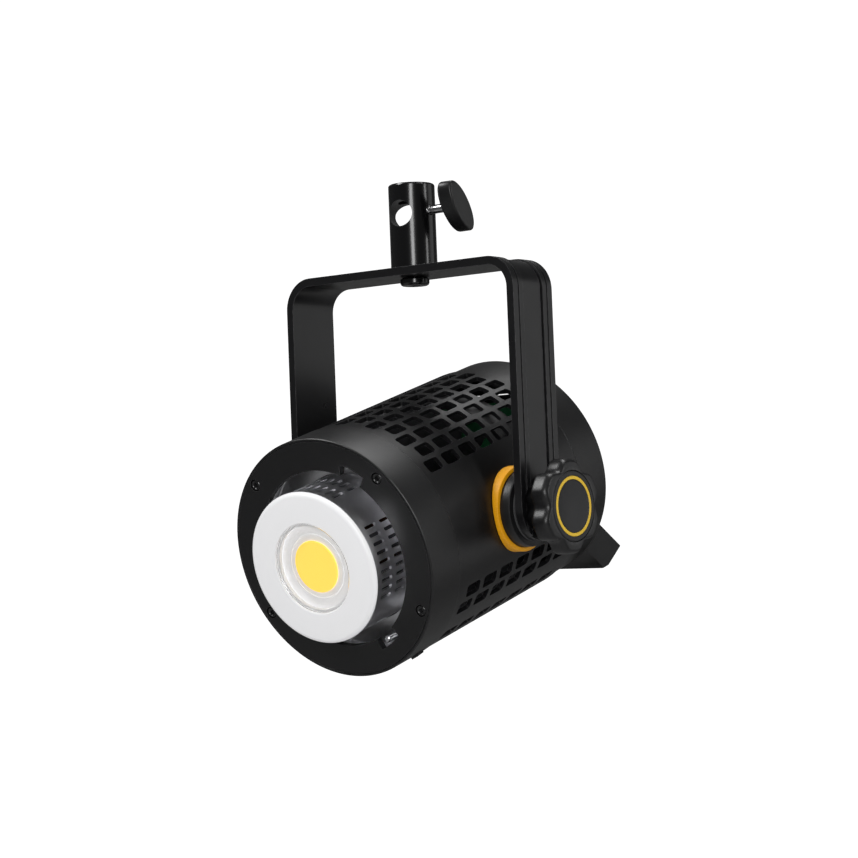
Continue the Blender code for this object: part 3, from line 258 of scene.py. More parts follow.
def wear_and_highlight_group() -> bpy.types.NodeTree:
    """Builds the group that lightens and polishes a piece's edges, as patchy wear and as painted highlight lines.

    Returns:
        The group, built the first time it is asked for.
    """
    name = "edge_wear"
    if name in bpy.data.node_groups:
        return bpy.data.node_groups[name]
    given = {"Vector": "Vector", "Radius": "Float", "Amount": "Float", "Colour": "Color", "Worn And Highlight Colour": "Color"}
    given |= {"Roughness": "Float", "Worn Roughness": "Float"}
    wiring, ins, out = new_group(name, given, {"Colour": "Color", "Roughness": "Float"})
    eased = wiring.add("ShaderNodeBevel", {"Radius": ins["Radius"]}, samples=4)
    plain = wiring.add("ShaderNodeNewGeometry")
    along = wiring.add(
        "ShaderNodeVectorMath", {0: eased.outputs[0], 1: plain.outputs["Normal"]}, operation="DOT_PRODUCT"
    )
    bent = wiring.math("SUBTRACT", 1.0, along.outputs["Value"])
    edge = wiring.add("ShaderNodeMapRange", {"Value": bent} | BEND_LIMITS)
    patchy = wiring.add("ShaderNodeTexNoise", {"Vector": ins["Vector"], "Scale": PATCH_SCALE, "Detail": 4.0})
    chance = wiring.add("ShaderNodeMapRange", {"Value": patchy.outputs[0]} | PATCH_LIMITS)
    # Painted highlight: this mask lightens the edges into highlight lines, besides patchy wear.
    wear_and_highlight_mask = wiring.math("MULTIPLY", wiring.math("MULTIPLY", edge.outputs[0], chance.outputs[0]), ins["Amount"])
    colour = wiring.blend(wear_and_highlight_mask, ins["Colour"], ins["Worn And Highlight Colour"])
    rough = wiring.add("ShaderNodeMix", {0: wear_and_highlight_mask, 2: ins["Roughness"], 3: ins["Worn Roughness"]}, data_type="FLOAT")
    wiring.tree.links.new(colour, out.inputs["Colour"])
    wiring.tree.links.new(rough.outputs[0], out.inputs["Roughness"])
    return wiring.tree


def lathe_group() -> bpy.types.NodeTree:
    """Builds the group that turns a place into its radius and its distance along the lamp's axis.

    Returns:
        The group, built the first time it is asked for.
    """
    name = "lathe_marks"
    if name in bpy.data.node_groups:
        return bpy.data.node_groups[name]
    wiring, ins, out = new_group(name, {"Vector": "Vector"}, {"Vector": "Vector"})
    parts = wiring.add("ShaderNodeSeparateXYZ", {0: ins["Vector"]})
    flat = wiring.add("ShaderNodeCombineXYZ", {"X": parts.outputs["X"], "Z": parts.outputs["Z"]})
    radius = wiring.add("ShaderNodeVectorMath", {0: flat.outputs[0]}, operation="LENGTH")
    faint = wiring.math("MULTIPLY", parts.outputs["X"], LATHE_DRIFT)
    joined = wiring.add(
        "ShaderNodeCombineXYZ", {"X": radius.outputs["Value"], "Y": parts.outputs["Y"], "Z": faint}
    )
    wiring.tree.links.new(joined.outputs[0], out.inputs["Vector"])
    return wiring.tree


@dataclass(frozen=True)
class Finish:
    """A surface: its colour, gloss, relief, how its edges wear, and the painted light it carries: highlight lines on
    its edges and, on some parts that are no lamp, a painted glow.

    Attributes:
        name: The material's name.
        slot: The record's material slot it stands for; not used.
        colour: Its plain colour.
        roughness: Its plain roughness.
        metallic: 1 for bare metal.
        coat: Weight of the clear coat over it.
        grain: The pattern of its relief.
        grain_size: Size of one grain.
        relief: Height of the grain.
        variation: How far its brightness drifts, as a share.
        spread: How far its roughness drifts.
        wear_and_highlight: How strongly its edges show wear, and with it the painted highlight lines along them.
        worn_and_highlight_colour: The lighter colour its edges turn to, for wear and for painted highlight lines.
        worn_roughness: The roughness of its rubbed edges.
        wear_and_highlight_radius: How far from an edge the wear and the painted highlight reach.
        lamp_and_painted_glow: Strength of its own light: a lamp's light, or painted light on a part that is no lamp.
        specular: Strength of the gloss of a surface that isn't metal.
    """

    name: str
    slot: str
    colour: Colour
    roughness: float
    metallic: float = 0.0
    coat: float = 0.0
    grain: Grain = Grain.FINE
    grain_size: float = 0.5 * MM
    relief: float = 0.01 * MM
    variation: float = 0.2
    spread: float = 0.12
    wear_and_highlight: float = 0.35
    worn_and_highlight_colour: Colour = (0.16, 0.16, 0.165)
    worn_roughness: float = 0.3
    wear_and_highlight_radius: float = 0.4 * MM
    lamp_and_painted_glow: float = 0.0
    specular: float = 0.5

    def place(self, wiring: Wiring) -> bpy.types.NodeSocket:
        """Adds the coordinates that the patterns follow.

        Args:
            wiring: The material's wiring.

        Returns:
            The coordinates' socket.
        """
        here = wiring.add("ShaderNodeTexCoord").outputs["Object"]
        if not self.grain.lathed:
            return here
        centre = HEAD.inverted().to_translation()
        turned_back = {"Vector": here, "Rotation": (-HEAD_TILT, 0.0, 0.0), "Location": centre}
        headwise = wiring.add("ShaderNodeMapping", turned_back).outputs[0]
        lathe = wiring.add("ShaderNodeGroup", node_tree=lathe_group())
        wiring.tree.links.new(headwise, lathe.inputs["Vector"])
        return lathe.outputs["Vector"]

    def dress(self, wiring: Wiring, shader: bpy.types.Node) -> None:
        """Wires the patterns into the shader.

        Args:
            wiring: The material's wiring.
            shader: Its Principled BSDF.
        """
        here = self.place(wiring)
        grain = wiring.add("ShaderNodeGroup", node_tree=grain_group())
        wiring.tree.links.new(here, grain.inputs["Vector"])
        settings = {"Size": self.grain_size, "Cells": self.grain.cells, "Colour": (*self.colour, 1.0)}
        settings |= {"Variation": self.variation, "Roughness": self.roughness, "Spread": self.spread}
        for name, value in settings.items():
            grain.inputs[name].default_value = value
        # The edge group lightens edges for wear and as painted highlight lines.
        wear_and_highlight = wiring.add("ShaderNodeGroup", node_tree=wear_and_highlight_group())
        worn_and_highlight_inputs = {"Radius": self.wear_and_highlight_radius, "Amount": self.wear_and_highlight, "Worn And Highlight Colour": (*self.worn_and_highlight_colour, 1.0)}
        worn_and_highlight_inputs["Worn Roughness"] = self.worn_roughness
        for name, value in worn_and_highlight_inputs.items():
            wear_and_highlight.inputs[name].default_value = value
        for source, target in ((here, "Vector"), (grain.outputs[0], "Colour"), (grain.outputs[1], "Roughness")):
            wiring.tree.links.new(source, wear_and_highlight.inputs[target])
        height = {"Height": grain.outputs["Height"], "Distance": self.relief}
        bump = wiring.add("ShaderNodeBump", height)
        wiring.tree.links.new(wear_and_highlight.outputs["Colour"], shader.inputs["Base Color"])
        wiring.tree.links.new(wear_and_highlight.outputs["Roughness"], shader.inputs["Roughness"])
        wiring.tree.links.new(bump.outputs[0], shader.inputs["Normal"])
        # On a part that is no lamp, this glow is painted light that makes it shine by itself.
        if self.lamp_and_painted_glow:
            wiring.tree.links.new(wear_and_highlight.outputs["Colour"], shader.inputs["Emission Color"])

    def material(self) -> bpy.types.Material:
        """Builds the material the first time it is asked for.

        Returns:
            The material.
        """
        if self.name in bpy.data.materials:
            return bpy.data.materials[self.name]
        made = bpy.data.materials.new(self.name)
        made.use_nodes = True
        shader = made.node_tree.nodes["Principled BSDF"]
        constants = {"Metallic": self.metallic, "Coat Weight": self.coat}
        constants["Coat Roughness"] = COAT_ROUGHNESS
        constants |= {"Emission Strength": self.lamp_and_painted_glow, "Specular IOR Level": self.specular}
        for name, value in constants.items():
            shader.inputs[name].default_value = value
        self.dress(Wiring(made.node_tree), shader)
        return made


@dataclass(frozen=True)
class ClearGlass(Finish):
    """Clear glass with faint smears."""

    def dress(self, wiring: Wiring, shader: bpy.types.Node) -> None:
        """Wires the smears in, and lets light through."""
        super().dress(wiring, shader)
        shader.inputs["Transmission Weight"].default_value = 1.0
        shader.inputs["IOR"].default_value = GLASS_IOR


# The lighter edge colours below stand both for wear and for painted highlight lines along the edges.
SATIN_PAINT = Finish(
    "satin_paint", "satin_black", (0.0055, 0.0055, 0.006), 0.4, grain=Grain.LEATHER, grain_size=0.55 * MM,
    relief=0.035 * MM, variation=0.25, spread=0.1, wear_and_highlight=0.5, worn_and_highlight_colour=(0.09, 0.09, 0.095)
)
PLATE_PAINT = Finish(
    "plate_paint", "satin_black", (0.0055, 0.0055, 0.006), 0.42, grain=Grain.MOTTLED, grain_size=0.4 * MM,
    relief=0.012 * MM, wear_and_highlight=0.6, worn_and_highlight_colour=(0.12, 0.12, 0.125)
)
HOUSING_PAINT = Finish(
    "housing_paint", "satin_black", (0.005, 0.005, 0.0055), 0.36, grain=Grain.LEATHER, grain_size=0.5 * MM,
    relief=0.02 * MM, variation=0.25, wear_and_highlight=0.7, worn_and_highlight_colour=(0.1, 0.1, 0.105)
)
ANODISED_BLACK = Finish(
    "anodised_black", "satin_black", (0.0055, 0.0055, 0.0062), 0.3, grain=Grain.MOTTLED, grain_size=0.35 * MM,
    relief=0.008 * MM, wear_and_highlight=0.8, worn_and_highlight_colour=(0.15, 0.15, 0.155)
)
GLOSS_PAINT = Finish(
    "gloss_paint", "gloss_black", (0.003, 0.003, 0.0033), 0.2, coat=0.15, grain_size=0.9 * MM, relief=0.003 * MM,
    spread=0.06, wear_and_highlight=0.5, worn_and_highlight_colour=(0.1, 0.1, 0.105), worn_roughness=0.2
)
BLACK_PLASTIC = Finish(
    "moulded_plastic", "black_plastic", (0.0055, 0.0055, 0.006), 0.36, grain_size=0.3 * MM, relief=0.01 * MM, wear_and_highlight=0.3,
    worn_and_highlight_colour=(0.07, 0.07, 0.072)
)
CAP_GREY = Finish(
    "cap_plastic", "cap_grey", (0.009, 0.009, 0.01), 0.42, grain_size=0.3 * MM, relief=0.01 * MM, wear_and_highlight=0.2
)
BRIGHT_STEEL = Finish(
    "bright_steel", "steel", (0.62, 0.62, 0.63), 0.22, metallic=1.0, grain_size=0.4 * MM, relief=0.003 * MM,
    variation=0.12, wear_and_highlight=0.2, worn_and_highlight_colour=(0.8, 0.8, 0.8)
)
TURNED_ALUMINIUM = Finish(
    "turned_aluminium", "aluminium", (0.83, 0.83, 0.85), 0.3, metallic=1.0, grain=Grain.TURNED, grain_size=0.25 * MM,
    relief=0.0003 * MM, variation=0.06, spread=0.05, wear_and_highlight=0.2, worn_and_highlight_colour=(0.95, 0.95, 0.96)
)
DARK_ALUMINIUM = Finish(
    "dark_aluminium", "dark_aluminium", (0.06, 0.06, 0.065), 0.4, metallic=1.0, grain_size=0.5 * MM,
    relief=0.006 * MM, worn_and_highlight_colour=(0.3, 0.3, 0.31)
)
YELLOW_RUBBER = Finish(
    "yellow_rubber", "yellow", (0.95, 0.42, 0.002), 0.5, grain=Grain.LEATHER, grain_size=0.7 * MM, relief=0.06 * MM,
    variation=0.3, wear_and_highlight=0.2, worn_and_highlight_colour=(0.9, 0.5, 0.05), worn_roughness=0.5
)
YELLOW_INLAY = Finish(
    "yellow_inlay", "yellow", (0.93, 0.6, 0.03), 0.38, grain_size=0.4 * MM, relief=0.004 * MM, variation=0.1,
    wear_and_highlight=0.1, worn_and_highlight_colour=(0.95, 0.7, 0.2)
)
# Painted light: the glow brightens the white ring, which is no lamp, beyond what the studio lights give it.
WHITE_ENAMEL_PAINTED_GLOW = Finish(
    "white_enamel_painted_glow", "white", (0.86, 0.86, 0.87), 0.32, grain_size=0.8 * MM, relief=0.003 * MM, variation=0.03,
    wear_and_highlight=0.15, worn_and_highlight_colour=(0.95, 0.95, 0.95), lamp_and_painted_glow=0.24
)
PHOSPHOR = Finish(
    "phosphor_gel", "phosphor", (1.0, 0.66, 0.1), 0.55, grain_size=0.5 * MM, relief=0.01 * MM, variation=0.05,
    wear_and_highlight=0.0, lamp_and_painted_glow=0.85
)
# Painted light: the glow brightens the board behind the glass, which is no lamp, beyond what the studio lights give
# it.
BOARD_WHITE_PAINTED_GLOW = Finish(
    "board_white_painted_glow", "white", (0.86, 0.86, 0.87), 0.4, grain_size=0.6 * MM, relief=0.003 * MM, variation=0.04,
    wear_and_highlight=0.1, worn_and_highlight_colour=(0.95, 0.95, 0.95), lamp_and_painted_glow=0.4
)
LAMP_GLASS = ClearGlass(
    "lamp_glass", "glass", (0.98, 0.98, 0.98), 0.04, grain_size=2.0 * MM, relief=0.0, variation=0.0, spread=0.05,
    wear_and_highlight=0.0
)
DISPLAY_GLASS = Finish(
    "display_glass", "gloss_black", (0.004, 0.004, 0.005), 0.06, coat=1.0, grain_size=3.0 * MM, relief=0.0,
    spread=0.05, wear_and_highlight=0.0
)
BARE_COPPER = Finish(
    "bare_copper", "copper", (0.1, 0.045, 0.025), 0.45, metallic=1.0, relief=0.003 * MM, worn_and_highlight_colour=(0.9, 0.5, 0.3)
)
BOARD_LACQUER = Finish(
    "board_lacquer", "circuit_green", (0.015, 0.12, 0.045), 0.35, coat=0.3, grain=Grain.MOTTLED,
    worn_and_highlight_colour=(0.25, 0.22, 0.1)
)
COIL_VARNISH = Finish(
    "coil_varnish", "varnish", (0.25, 0.15, 0.03), 0.4, coat=0.4, grain_size=0.8 * MM, relief=0.05 * MM
)
FRICTION_FIBRE = Finish(
    "friction_fibre", "washer", (0.05, 0.05, 0.052), 0.8, grain=Grain.MOTTLED, grain_size=0.3 * MM, relief=0.03 * MM,
    wear_and_highlight=0.1
)
PRINTED_WHITE = Finish(
    "printed_white", "white", (0.6, 0.6, 0.6), 0.6, grain_size=0.3 * MM, relief=0.002 * MM, wear_and_highlight=0.0
)


# ---------------------------------------------------------------- shaping


class Operation(Enum):
    """What is done with two closed shapes."""

    CUT = "DIFFERENCE"
    UNITE = "UNION"


def polar(radius: float, angle: float, along: float = 0.0) -> Vector:
    """Gives a place round the lamp's axis."""
    return Vector((radius * math.sin(angle), along, radius * math.cos(angle)))


def turned(outline: Outline, axis: Axis = Axis.Y, steps: int = ROUND_STEPS) -> bmesh.types.BMesh:
    """Spins an outline round an axis through the origin.

    Args:
        outline: (along, radius) points. It closes on itself, unless both ends lie on the axis.
        axis: The axis it turns round.
        steps: How many steps a full turn takes.

    Returns:
        The closed shape.
    """
    along, out = (Vector(direction) for direction in axis.value)
    bm = bmesh.new()
    points = [bm.verts.new(along * a + out * r) for a, r in outline]
    pairs = list(zip(points, points[1:]))
    if outline[0][1] or outline[-1][1]:
        pairs.append((points[-1], points[0]))
    edges = [bm.edges.new(pair) for pair in pairs]
    bmesh.ops.spin(
        bm, geom=points + edges, cent=(0.0, 0.0, 0.0), axis=along, angle=math.tau, steps=steps, use_merge=True
    )
    return cleaned(bm)


def cleaned(bm: bmesh.types.BMesh) -> bmesh.types.BMesh:
    """Merges a closed shape's doubles and turns its faces outwards."""
    bmesh.ops.remove_doubles(bm, verts=bm.verts, dist=WELD * 10)
    bmesh.ops.recalc_face_normals(bm, faces=bm.faces)
    return bm


def rod(
    start: float, end: float, radius: float, axis: Axis = Axis.Y, steps: int = SMALL_STEPS
) -> bmesh.types.BMesh:
    """Turns a plain rod, for a shank or a cutter."""
    return turned([(start, 0.0), (start, radius), (end, radius), (end, 0.0)], axis, steps)


def block(low: Sequence[float], high: Sequence[float]) -> bmesh.types.BMesh:
    """Makes a box between two corners, for a cutter or as the start of a piece.

    Args:
        low: Its lowest corner.
        high: Its highest corner.

    Returns:
        The box.
    """
    bm = bmesh.new()
    size = Vector(high) - Vector(low)
    middle = (Vector(high) + Vector(low)) / 2.0
    bmesh.ops.create_cube(bm, size=1.0, matrix=Matrix.Translation(middle) @ Matrix.Diagonal((*size, 1.0)))
    return bm


def moved(bm: bmesh.types.BMesh, by: Matrix | Vector | Sequence[float]) -> bmesh.types.BMesh:
    """Moves or turns a whole shape."""
    matrix = by if isinstance(by, Matrix) else Matrix.Translation(Vector(by))
    bmesh.ops.transform(bm, matrix=matrix, verts=bm.verts)
    return bm


def joined(shapes: Iterable[bmesh.types.BMesh]) -> bmesh.types.BMesh:
    """Puts several separate shapes into one.

    Args:
        shapes: The shapes, which are used up.

    Returns:
        One bmesh that holds them all.
    """
    total = bmesh.new()
    for bm in shapes:
        held = mesh_of("held", bm)
        total.from_mesh(held)
        bpy.data.meshes.remove(held)
    return total


def mesh_of(name: str, bm: bmesh.types.BMesh) -> bpy.types.Mesh:
    """Stores a shape as a mesh.

    Args:
        name: The mesh's name.
        bm: The shape, which is used up.

    Returns:
        The mesh.
    """
    mesh = bpy.data.meshes.new(name)
    bm.to_mesh(mesh)
    bm.free()
    return mesh


def placed(name: str, data: bpy.types.ID) -> bpy.types.Object:
    """Adds an object to the scene."""
    made = bpy.data.objects.new(name, data)
    bpy.context.scene.collection.objects.link(made)
    return made


def combined(
    bm: bmesh.types.BMesh, others: Iterable[bmesh.types.BMesh], operation: Operation
) -> bmesh.types.BMesh:
    """Combines closed shapes.

    Args:
        bm: The first shape, which is used up.
        others: What is cut from it or joined to it. They are used up.
        operation: Which of the two.

    Returns:
        The closed result.
    """
    target = placed("helper", mesh_of("helper", bm))
    helpers = [placed("helper", mesh_of("helper", other)) for other in others]
    for helper in helpers:
        step = target.modifiers.new("step", "BOOLEAN")
        step.operation = operation.value
        step.solver = "EXACT"
        step.object = helper
    evaluated = target.evaluated_get(bpy.context.evaluated_depsgraph_get())
    result = bmesh.new()
    result.from_mesh(evaluated.to_mesh())
    evaluated.to_mesh_clear()
    for old in (target, *helpers):
        mesh = old.data
        bpy.data.objects.remove(old, do_unlink=True)
        bpy.data.meshes.remove(mesh)
    bmesh.ops.remove_doubles(result, verts=result.verts, dist=WELD * 10)
    return result


def carved(bm: bmesh.types.BMesh, cutters: Iterable[bmesh.types.BMesh]) -> bmesh.types.BMesh:
    """Cuts closed shapes out of a closed shape. All of them are used up."""
    return combined(bm, cutters, Operation.CUT)


def merged(first: bmesh.types.BMesh, second: bmesh.types.BMesh) -> bmesh.types.BMesh:
    """Unites two closed shapes that overlap. Both are used up."""
    return combined(first, [second], Operation.UNITE)


def thickened(bm: bmesh.types.BMesh, by: Sequence[float]) -> bmesh.types.BMesh:
    """Extrudes a flat shape into a closed one.

    Args:
        bm: The flat shape.
        by: How far its far side lies.

    Returns:
        The same shape, closed and facing outwards.
    """
    grown = bmesh.ops.extrude_face_region(bm, geom=bm.faces[:], use_keep_orig=True)
    far = [item for item in grown["geom"] if isinstance(item, bmesh.types.BMVert)]
    bmesh.ops.translate(bm, verts=far, vec=by)
    return cleaned(bm)


def faced_out(bm: bmesh.types.BMesh) -> bmesh.types.BMesh:
    """Turns an open skin's faces away from the lamp's axis.

    Args:
        bm: The skin, its faces all turned the same way.

    Returns:
        The same skin.
    """
    outwards = Vector((1.0, 0.0, 1.0))
    if sum(f.normal.dot(f.calc_center_median() * outwards) for f in bm.faces) < 0.0:
        bmesh.ops.reverse_faces(bm, faces=bm.faces)
    return bm


def quarter(steps: int) -> list[float]:
    """Gives the angles of a quarter turn in even steps, both ends included."""
    return [math.pi / 2.0 * i / steps for i in range(steps + 1)]


def staged(bm: bmesh.types.BMesh, stages: Iterable[tuple[float, float]]) -> bmesh.types.BMesh:
    """Raises a shape's only face along Z, one extrusion for each stage.

    Args:
        bm: A flat shape of one face at Z 0.
        stages: (height, share of the first size) of each stage.

    Returns:
        The closed shape.
    """
    face = next(iter(bm.faces))
    height, share = 0.0, 1.0
    for number, (up, size) in enumerate(stages):
        raised = bmesh.ops.extrude_face_region(bm, geom=[face], use_keep_orig=number == 0)
        face = next(item for item in raised["geom"] if isinstance(item, bmesh.types.BMFace))
        bmesh.ops.translate(bm, verts=face.verts, vec=(0.0, 0.0, up - height))
        bmesh.ops.scale(bm, verts=face.verts, vec=(size / share, size / share, 1.0))
        height, share = up, size
    return cleaned(bm)


def rounded_stages(depth: float, lip: float, radius: float, steps: int = 5) -> list[tuple[float, float]]:
    """Stages that raise a shape straight up and round its far edge."""
    return [(depth - lip + lip * math.sin(t), 1.0 - lip / radius * (1.0 - math.cos(t))) for t in quarter(steps)]


def make_piece(
    name: str,
    bm: bmesh.types.BMesh,
    space: Matrix,
    finish: Finish,
    stands_for: str | Sequence[str],
    edge: float = 0.0,
    segments: int = 3,
    wall: float = 0.0,
    shown_for: bool = True,
) -> bpy.types.Object:
    """Turns a shape into a finished piece that rides where its CAD node rides.

    Args:
        name: The piece's name.
        bm: Its shape, which is used up.
        space: The space it was built in.
        finish: Its finish.
        stands_for: The CAD node or nodes it replaces, or rides with.
        edge: Radius of its softened edges.
        segments: Segments of those edges.
        wall: Thickness given inwards to an open skin.
        shown_for: Whether it replaces those nodes, and doesn't only ride with them.

    Returns:
        The piece.
    """
    nodes = [stands_for] if isinstance(stands_for, str) else list(stands_for)
    mesh = mesh_of(name, moved(bm, space))
    mesh.shade_smooth()
    mesh.materials.append(finish.material())
    made = placed(name, mesh)
    if wall:
        solid = made.modifiers.new("wall", "SOLIDIFY")
        solid.thickness = wall
        solid.offset = -1.0
        solid.use_even_offset = True
    if edge:
        soft = made.modifiers.new("soft_edges", "BEVEL")
        soft.width = edge
        soft.segments = segments
        soft.limit_method = "ANGLE"
        soft.angle_limit = SOFT_ANGLE
        soft.miter_outer = "MITER_ARC"
        soft.harden_normals = True
        soft.use_clamp_overlap = True
    else:
        mesh.set_sharp_from_angle(angle=SOFT_ANGLE)
    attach(made, frame["nodes"][nodes[0]]["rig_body"])
    if shown_for:
        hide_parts(*nodes)
    log.info("%s: %d faces", name, len(mesh.polygons))
    return made


def dress_node(node: str, finish: Finish) -> None:
    """Gives a CAD node that is shown as it is a better material.

    Args:
        node: The node's name.
        finish: Its finish.
    """
    made = frame["nodes"][node]
    if not made.material_slots:
        made.data.materials.append(finish.material())
    for slot in made.material_slots:
        slot.material = finish.material()
    log.info("%s: CAD shape in %s", node, finish.name)


@dataclass(frozen=True)
class Opening:
    """One opening of a perforated skin.

    Attributes:
        angle: Its middle, round the lamp's axis.
        turn: How far round it reaches.
        low: Where it starts along the axis.
        high: Where it ends.
    """

    angle: float
    turn: float
    low: float
    high: float

    def holds(self, angle: float, along: float) -> bool:
        """Tells whether a place on the skin lies in the opening."""
        near = abs(math.remainder(angle - self.angle, math.tau)) < self.turn / 2.0
        return near and self.low < along < self.high


@dataclass(frozen=True)
class PerforatedSkin:
    """A tube's skin with rounded openings, laid out flat, cut, and bent round the lamp's axis.

    Attributes:
        radius: The tube's radius.
        start: Where it starts along the axis.
        end: Where it ends.
        openings: Its openings.
        corner: Radius of the openings' corners.
        seam: Angle of the seam, clear of every opening.
        finest: The widest strip the skin is bent in.
    """

    radius: float
    start: float
    end: float
    openings: tuple[Opening, ...]
    corner: float
    seam: float
    finest: float = math.radians(5.0)

    def lines(self) -> list[float]:
        """Angles of the lines that run along the skin, counted on from the seam.

        Returns:
            The angles in order.
        """
        cuts = {0.0, math.tau}
        for opening in self.openings:
            for side in (-0.5, 0.5):
                cuts.add(round((opening.angle + side * opening.turn - self.seam) % math.tau, 7))
        edges = sorted(cuts)
        found = []
        for first, second in zip(edges, edges[1:]):
            parts = max(1, math.ceil((second - first) / self.finest - 1e-6))
            found += [first + (second - first) * i / parts for i in range(parts)]
        return found[1:]

    def flat(self) -> bmesh.types.BMesh:
        """Lays the skin out flat and cuts its openings.

        Returns:
            The flat sheet: X is the way round at the tube's radius, and Y is along it.
        """
        bm = bmesh.new()
        size = Matrix.Diagonal((self.radius * math.tau, self.end - self.start, 1.0, 1.0))
        middle = Matrix.Translation((self.radius * math.pi, (self.start + self.end) / 2.0, 0.0))
        bmesh.ops.create_grid(bm, x_segments=1, y_segments=1, size=0.5, matrix=middle @ size)
        for angle in self.lines():
            place = (angle * self.radius, 0.0, 0.0)
            everything = bm.verts[:] + bm.edges[:] + bm.faces[:]
            bmesh.ops.bisect_plane(bm, geom=everything, plane_co=place, plane_no=(1.0, 0.0, 0.0))
        rows: dict[tuple[float, float], list[Opening]] = {}
        for opening in self.openings:
            rows.setdefault((opening.low, opening.high), []).append(opening)
        for (low, high), row in rows.items():
            for along in (low, high):
                faces = [f for f in bm.faces if self.crossed(f, row, along)]
                geom = faces + list({e for f in faces for e in f.edges} | {v for f in faces for v in f.verts})
                bmesh.ops.bisect_plane(bm, geom=geom, plane_co=(0.0, along, 0.0), plane_no=(0.0, 1.0, 0.0))
        corners = {v for f in bm.faces if self.is_open(f) for v in f.verts if self.is_corner(v, f)}
        rounded = bmesh.ops.bevel(
            bm, geom=list(corners), offset=self.corner, offset_type="OFFSET", affect="VERTICES", segments=4,
            profile=0.5, material=-1, clamp_overlap=True,
        )
        kept = set(rounded["faces"])
        bmesh.ops.delete(bm, geom=[f for f in bm.faces if f not in kept and self.is_open(f)], context="FACES")
        return bm

    def crossed(self, face: bmesh.types.BMFace, row: list[Opening], along: float) -> bool:
        """Tells whether a row's line cuts a face, which then lies in one of the row's strips."""
        middle = face.calc_center_median()
        heights = [v.co.y for v in face.verts]
        angle = middle.x / self.radius + self.seam
        inside = any(abs(math.remainder(angle - o.angle, math.tau)) < o.turn / 2.0 for o in row)
        return inside and min(heights) < along < max(heights)

    def is_open(self, face: bmesh.types.BMFace) -> bool:
        """Tells whether a face of the flat sheet lies in an opening."""
        middle = face.calc_center_median()
        return any(o.holds(middle.x / self.radius + self.seam, middle.y) for o in self.openings)

    def is_corner(self, vert: bmesh.types.BMVert, face: bmesh.types.BMFace) -> bool:
        """Tells whether a point is a true corner of the opening that a face fills."""
        middle = face.calc_center_median()
        angle = middle.x / self.radius + self.seam
        hole = next(o for o in self.openings if o.holds(angle, middle.y))
        off = abs(math.remainder(vert.co.x / self.radius + self.seam - hole.angle, math.tau))
        at_side = abs(off - hole.turn / 2.0) < ANGLE_SLIP
        return at_side and min(abs(vert.co.y - hole.low), abs(vert.co.y - hole.high)) < WELD * 10

    def build(self) -> bmesh.types.BMesh:
        """Bends the flat sheet round the axis and closes its seam.

        Returns:
            The open skin, facing outwards.
        """
        bm = self.flat()
        for vert in bm.verts:
            vert.co = polar(self.radius, vert.co.x / self.radius + self.seam, vert.co.y)
        bmesh.ops.remove_doubles(bm, verts=bm.verts, dist=WELD * 100)
        bm.normal_update()
        return faced_out(bm)


# ---------------------------------------------------------------- yoke and receiver


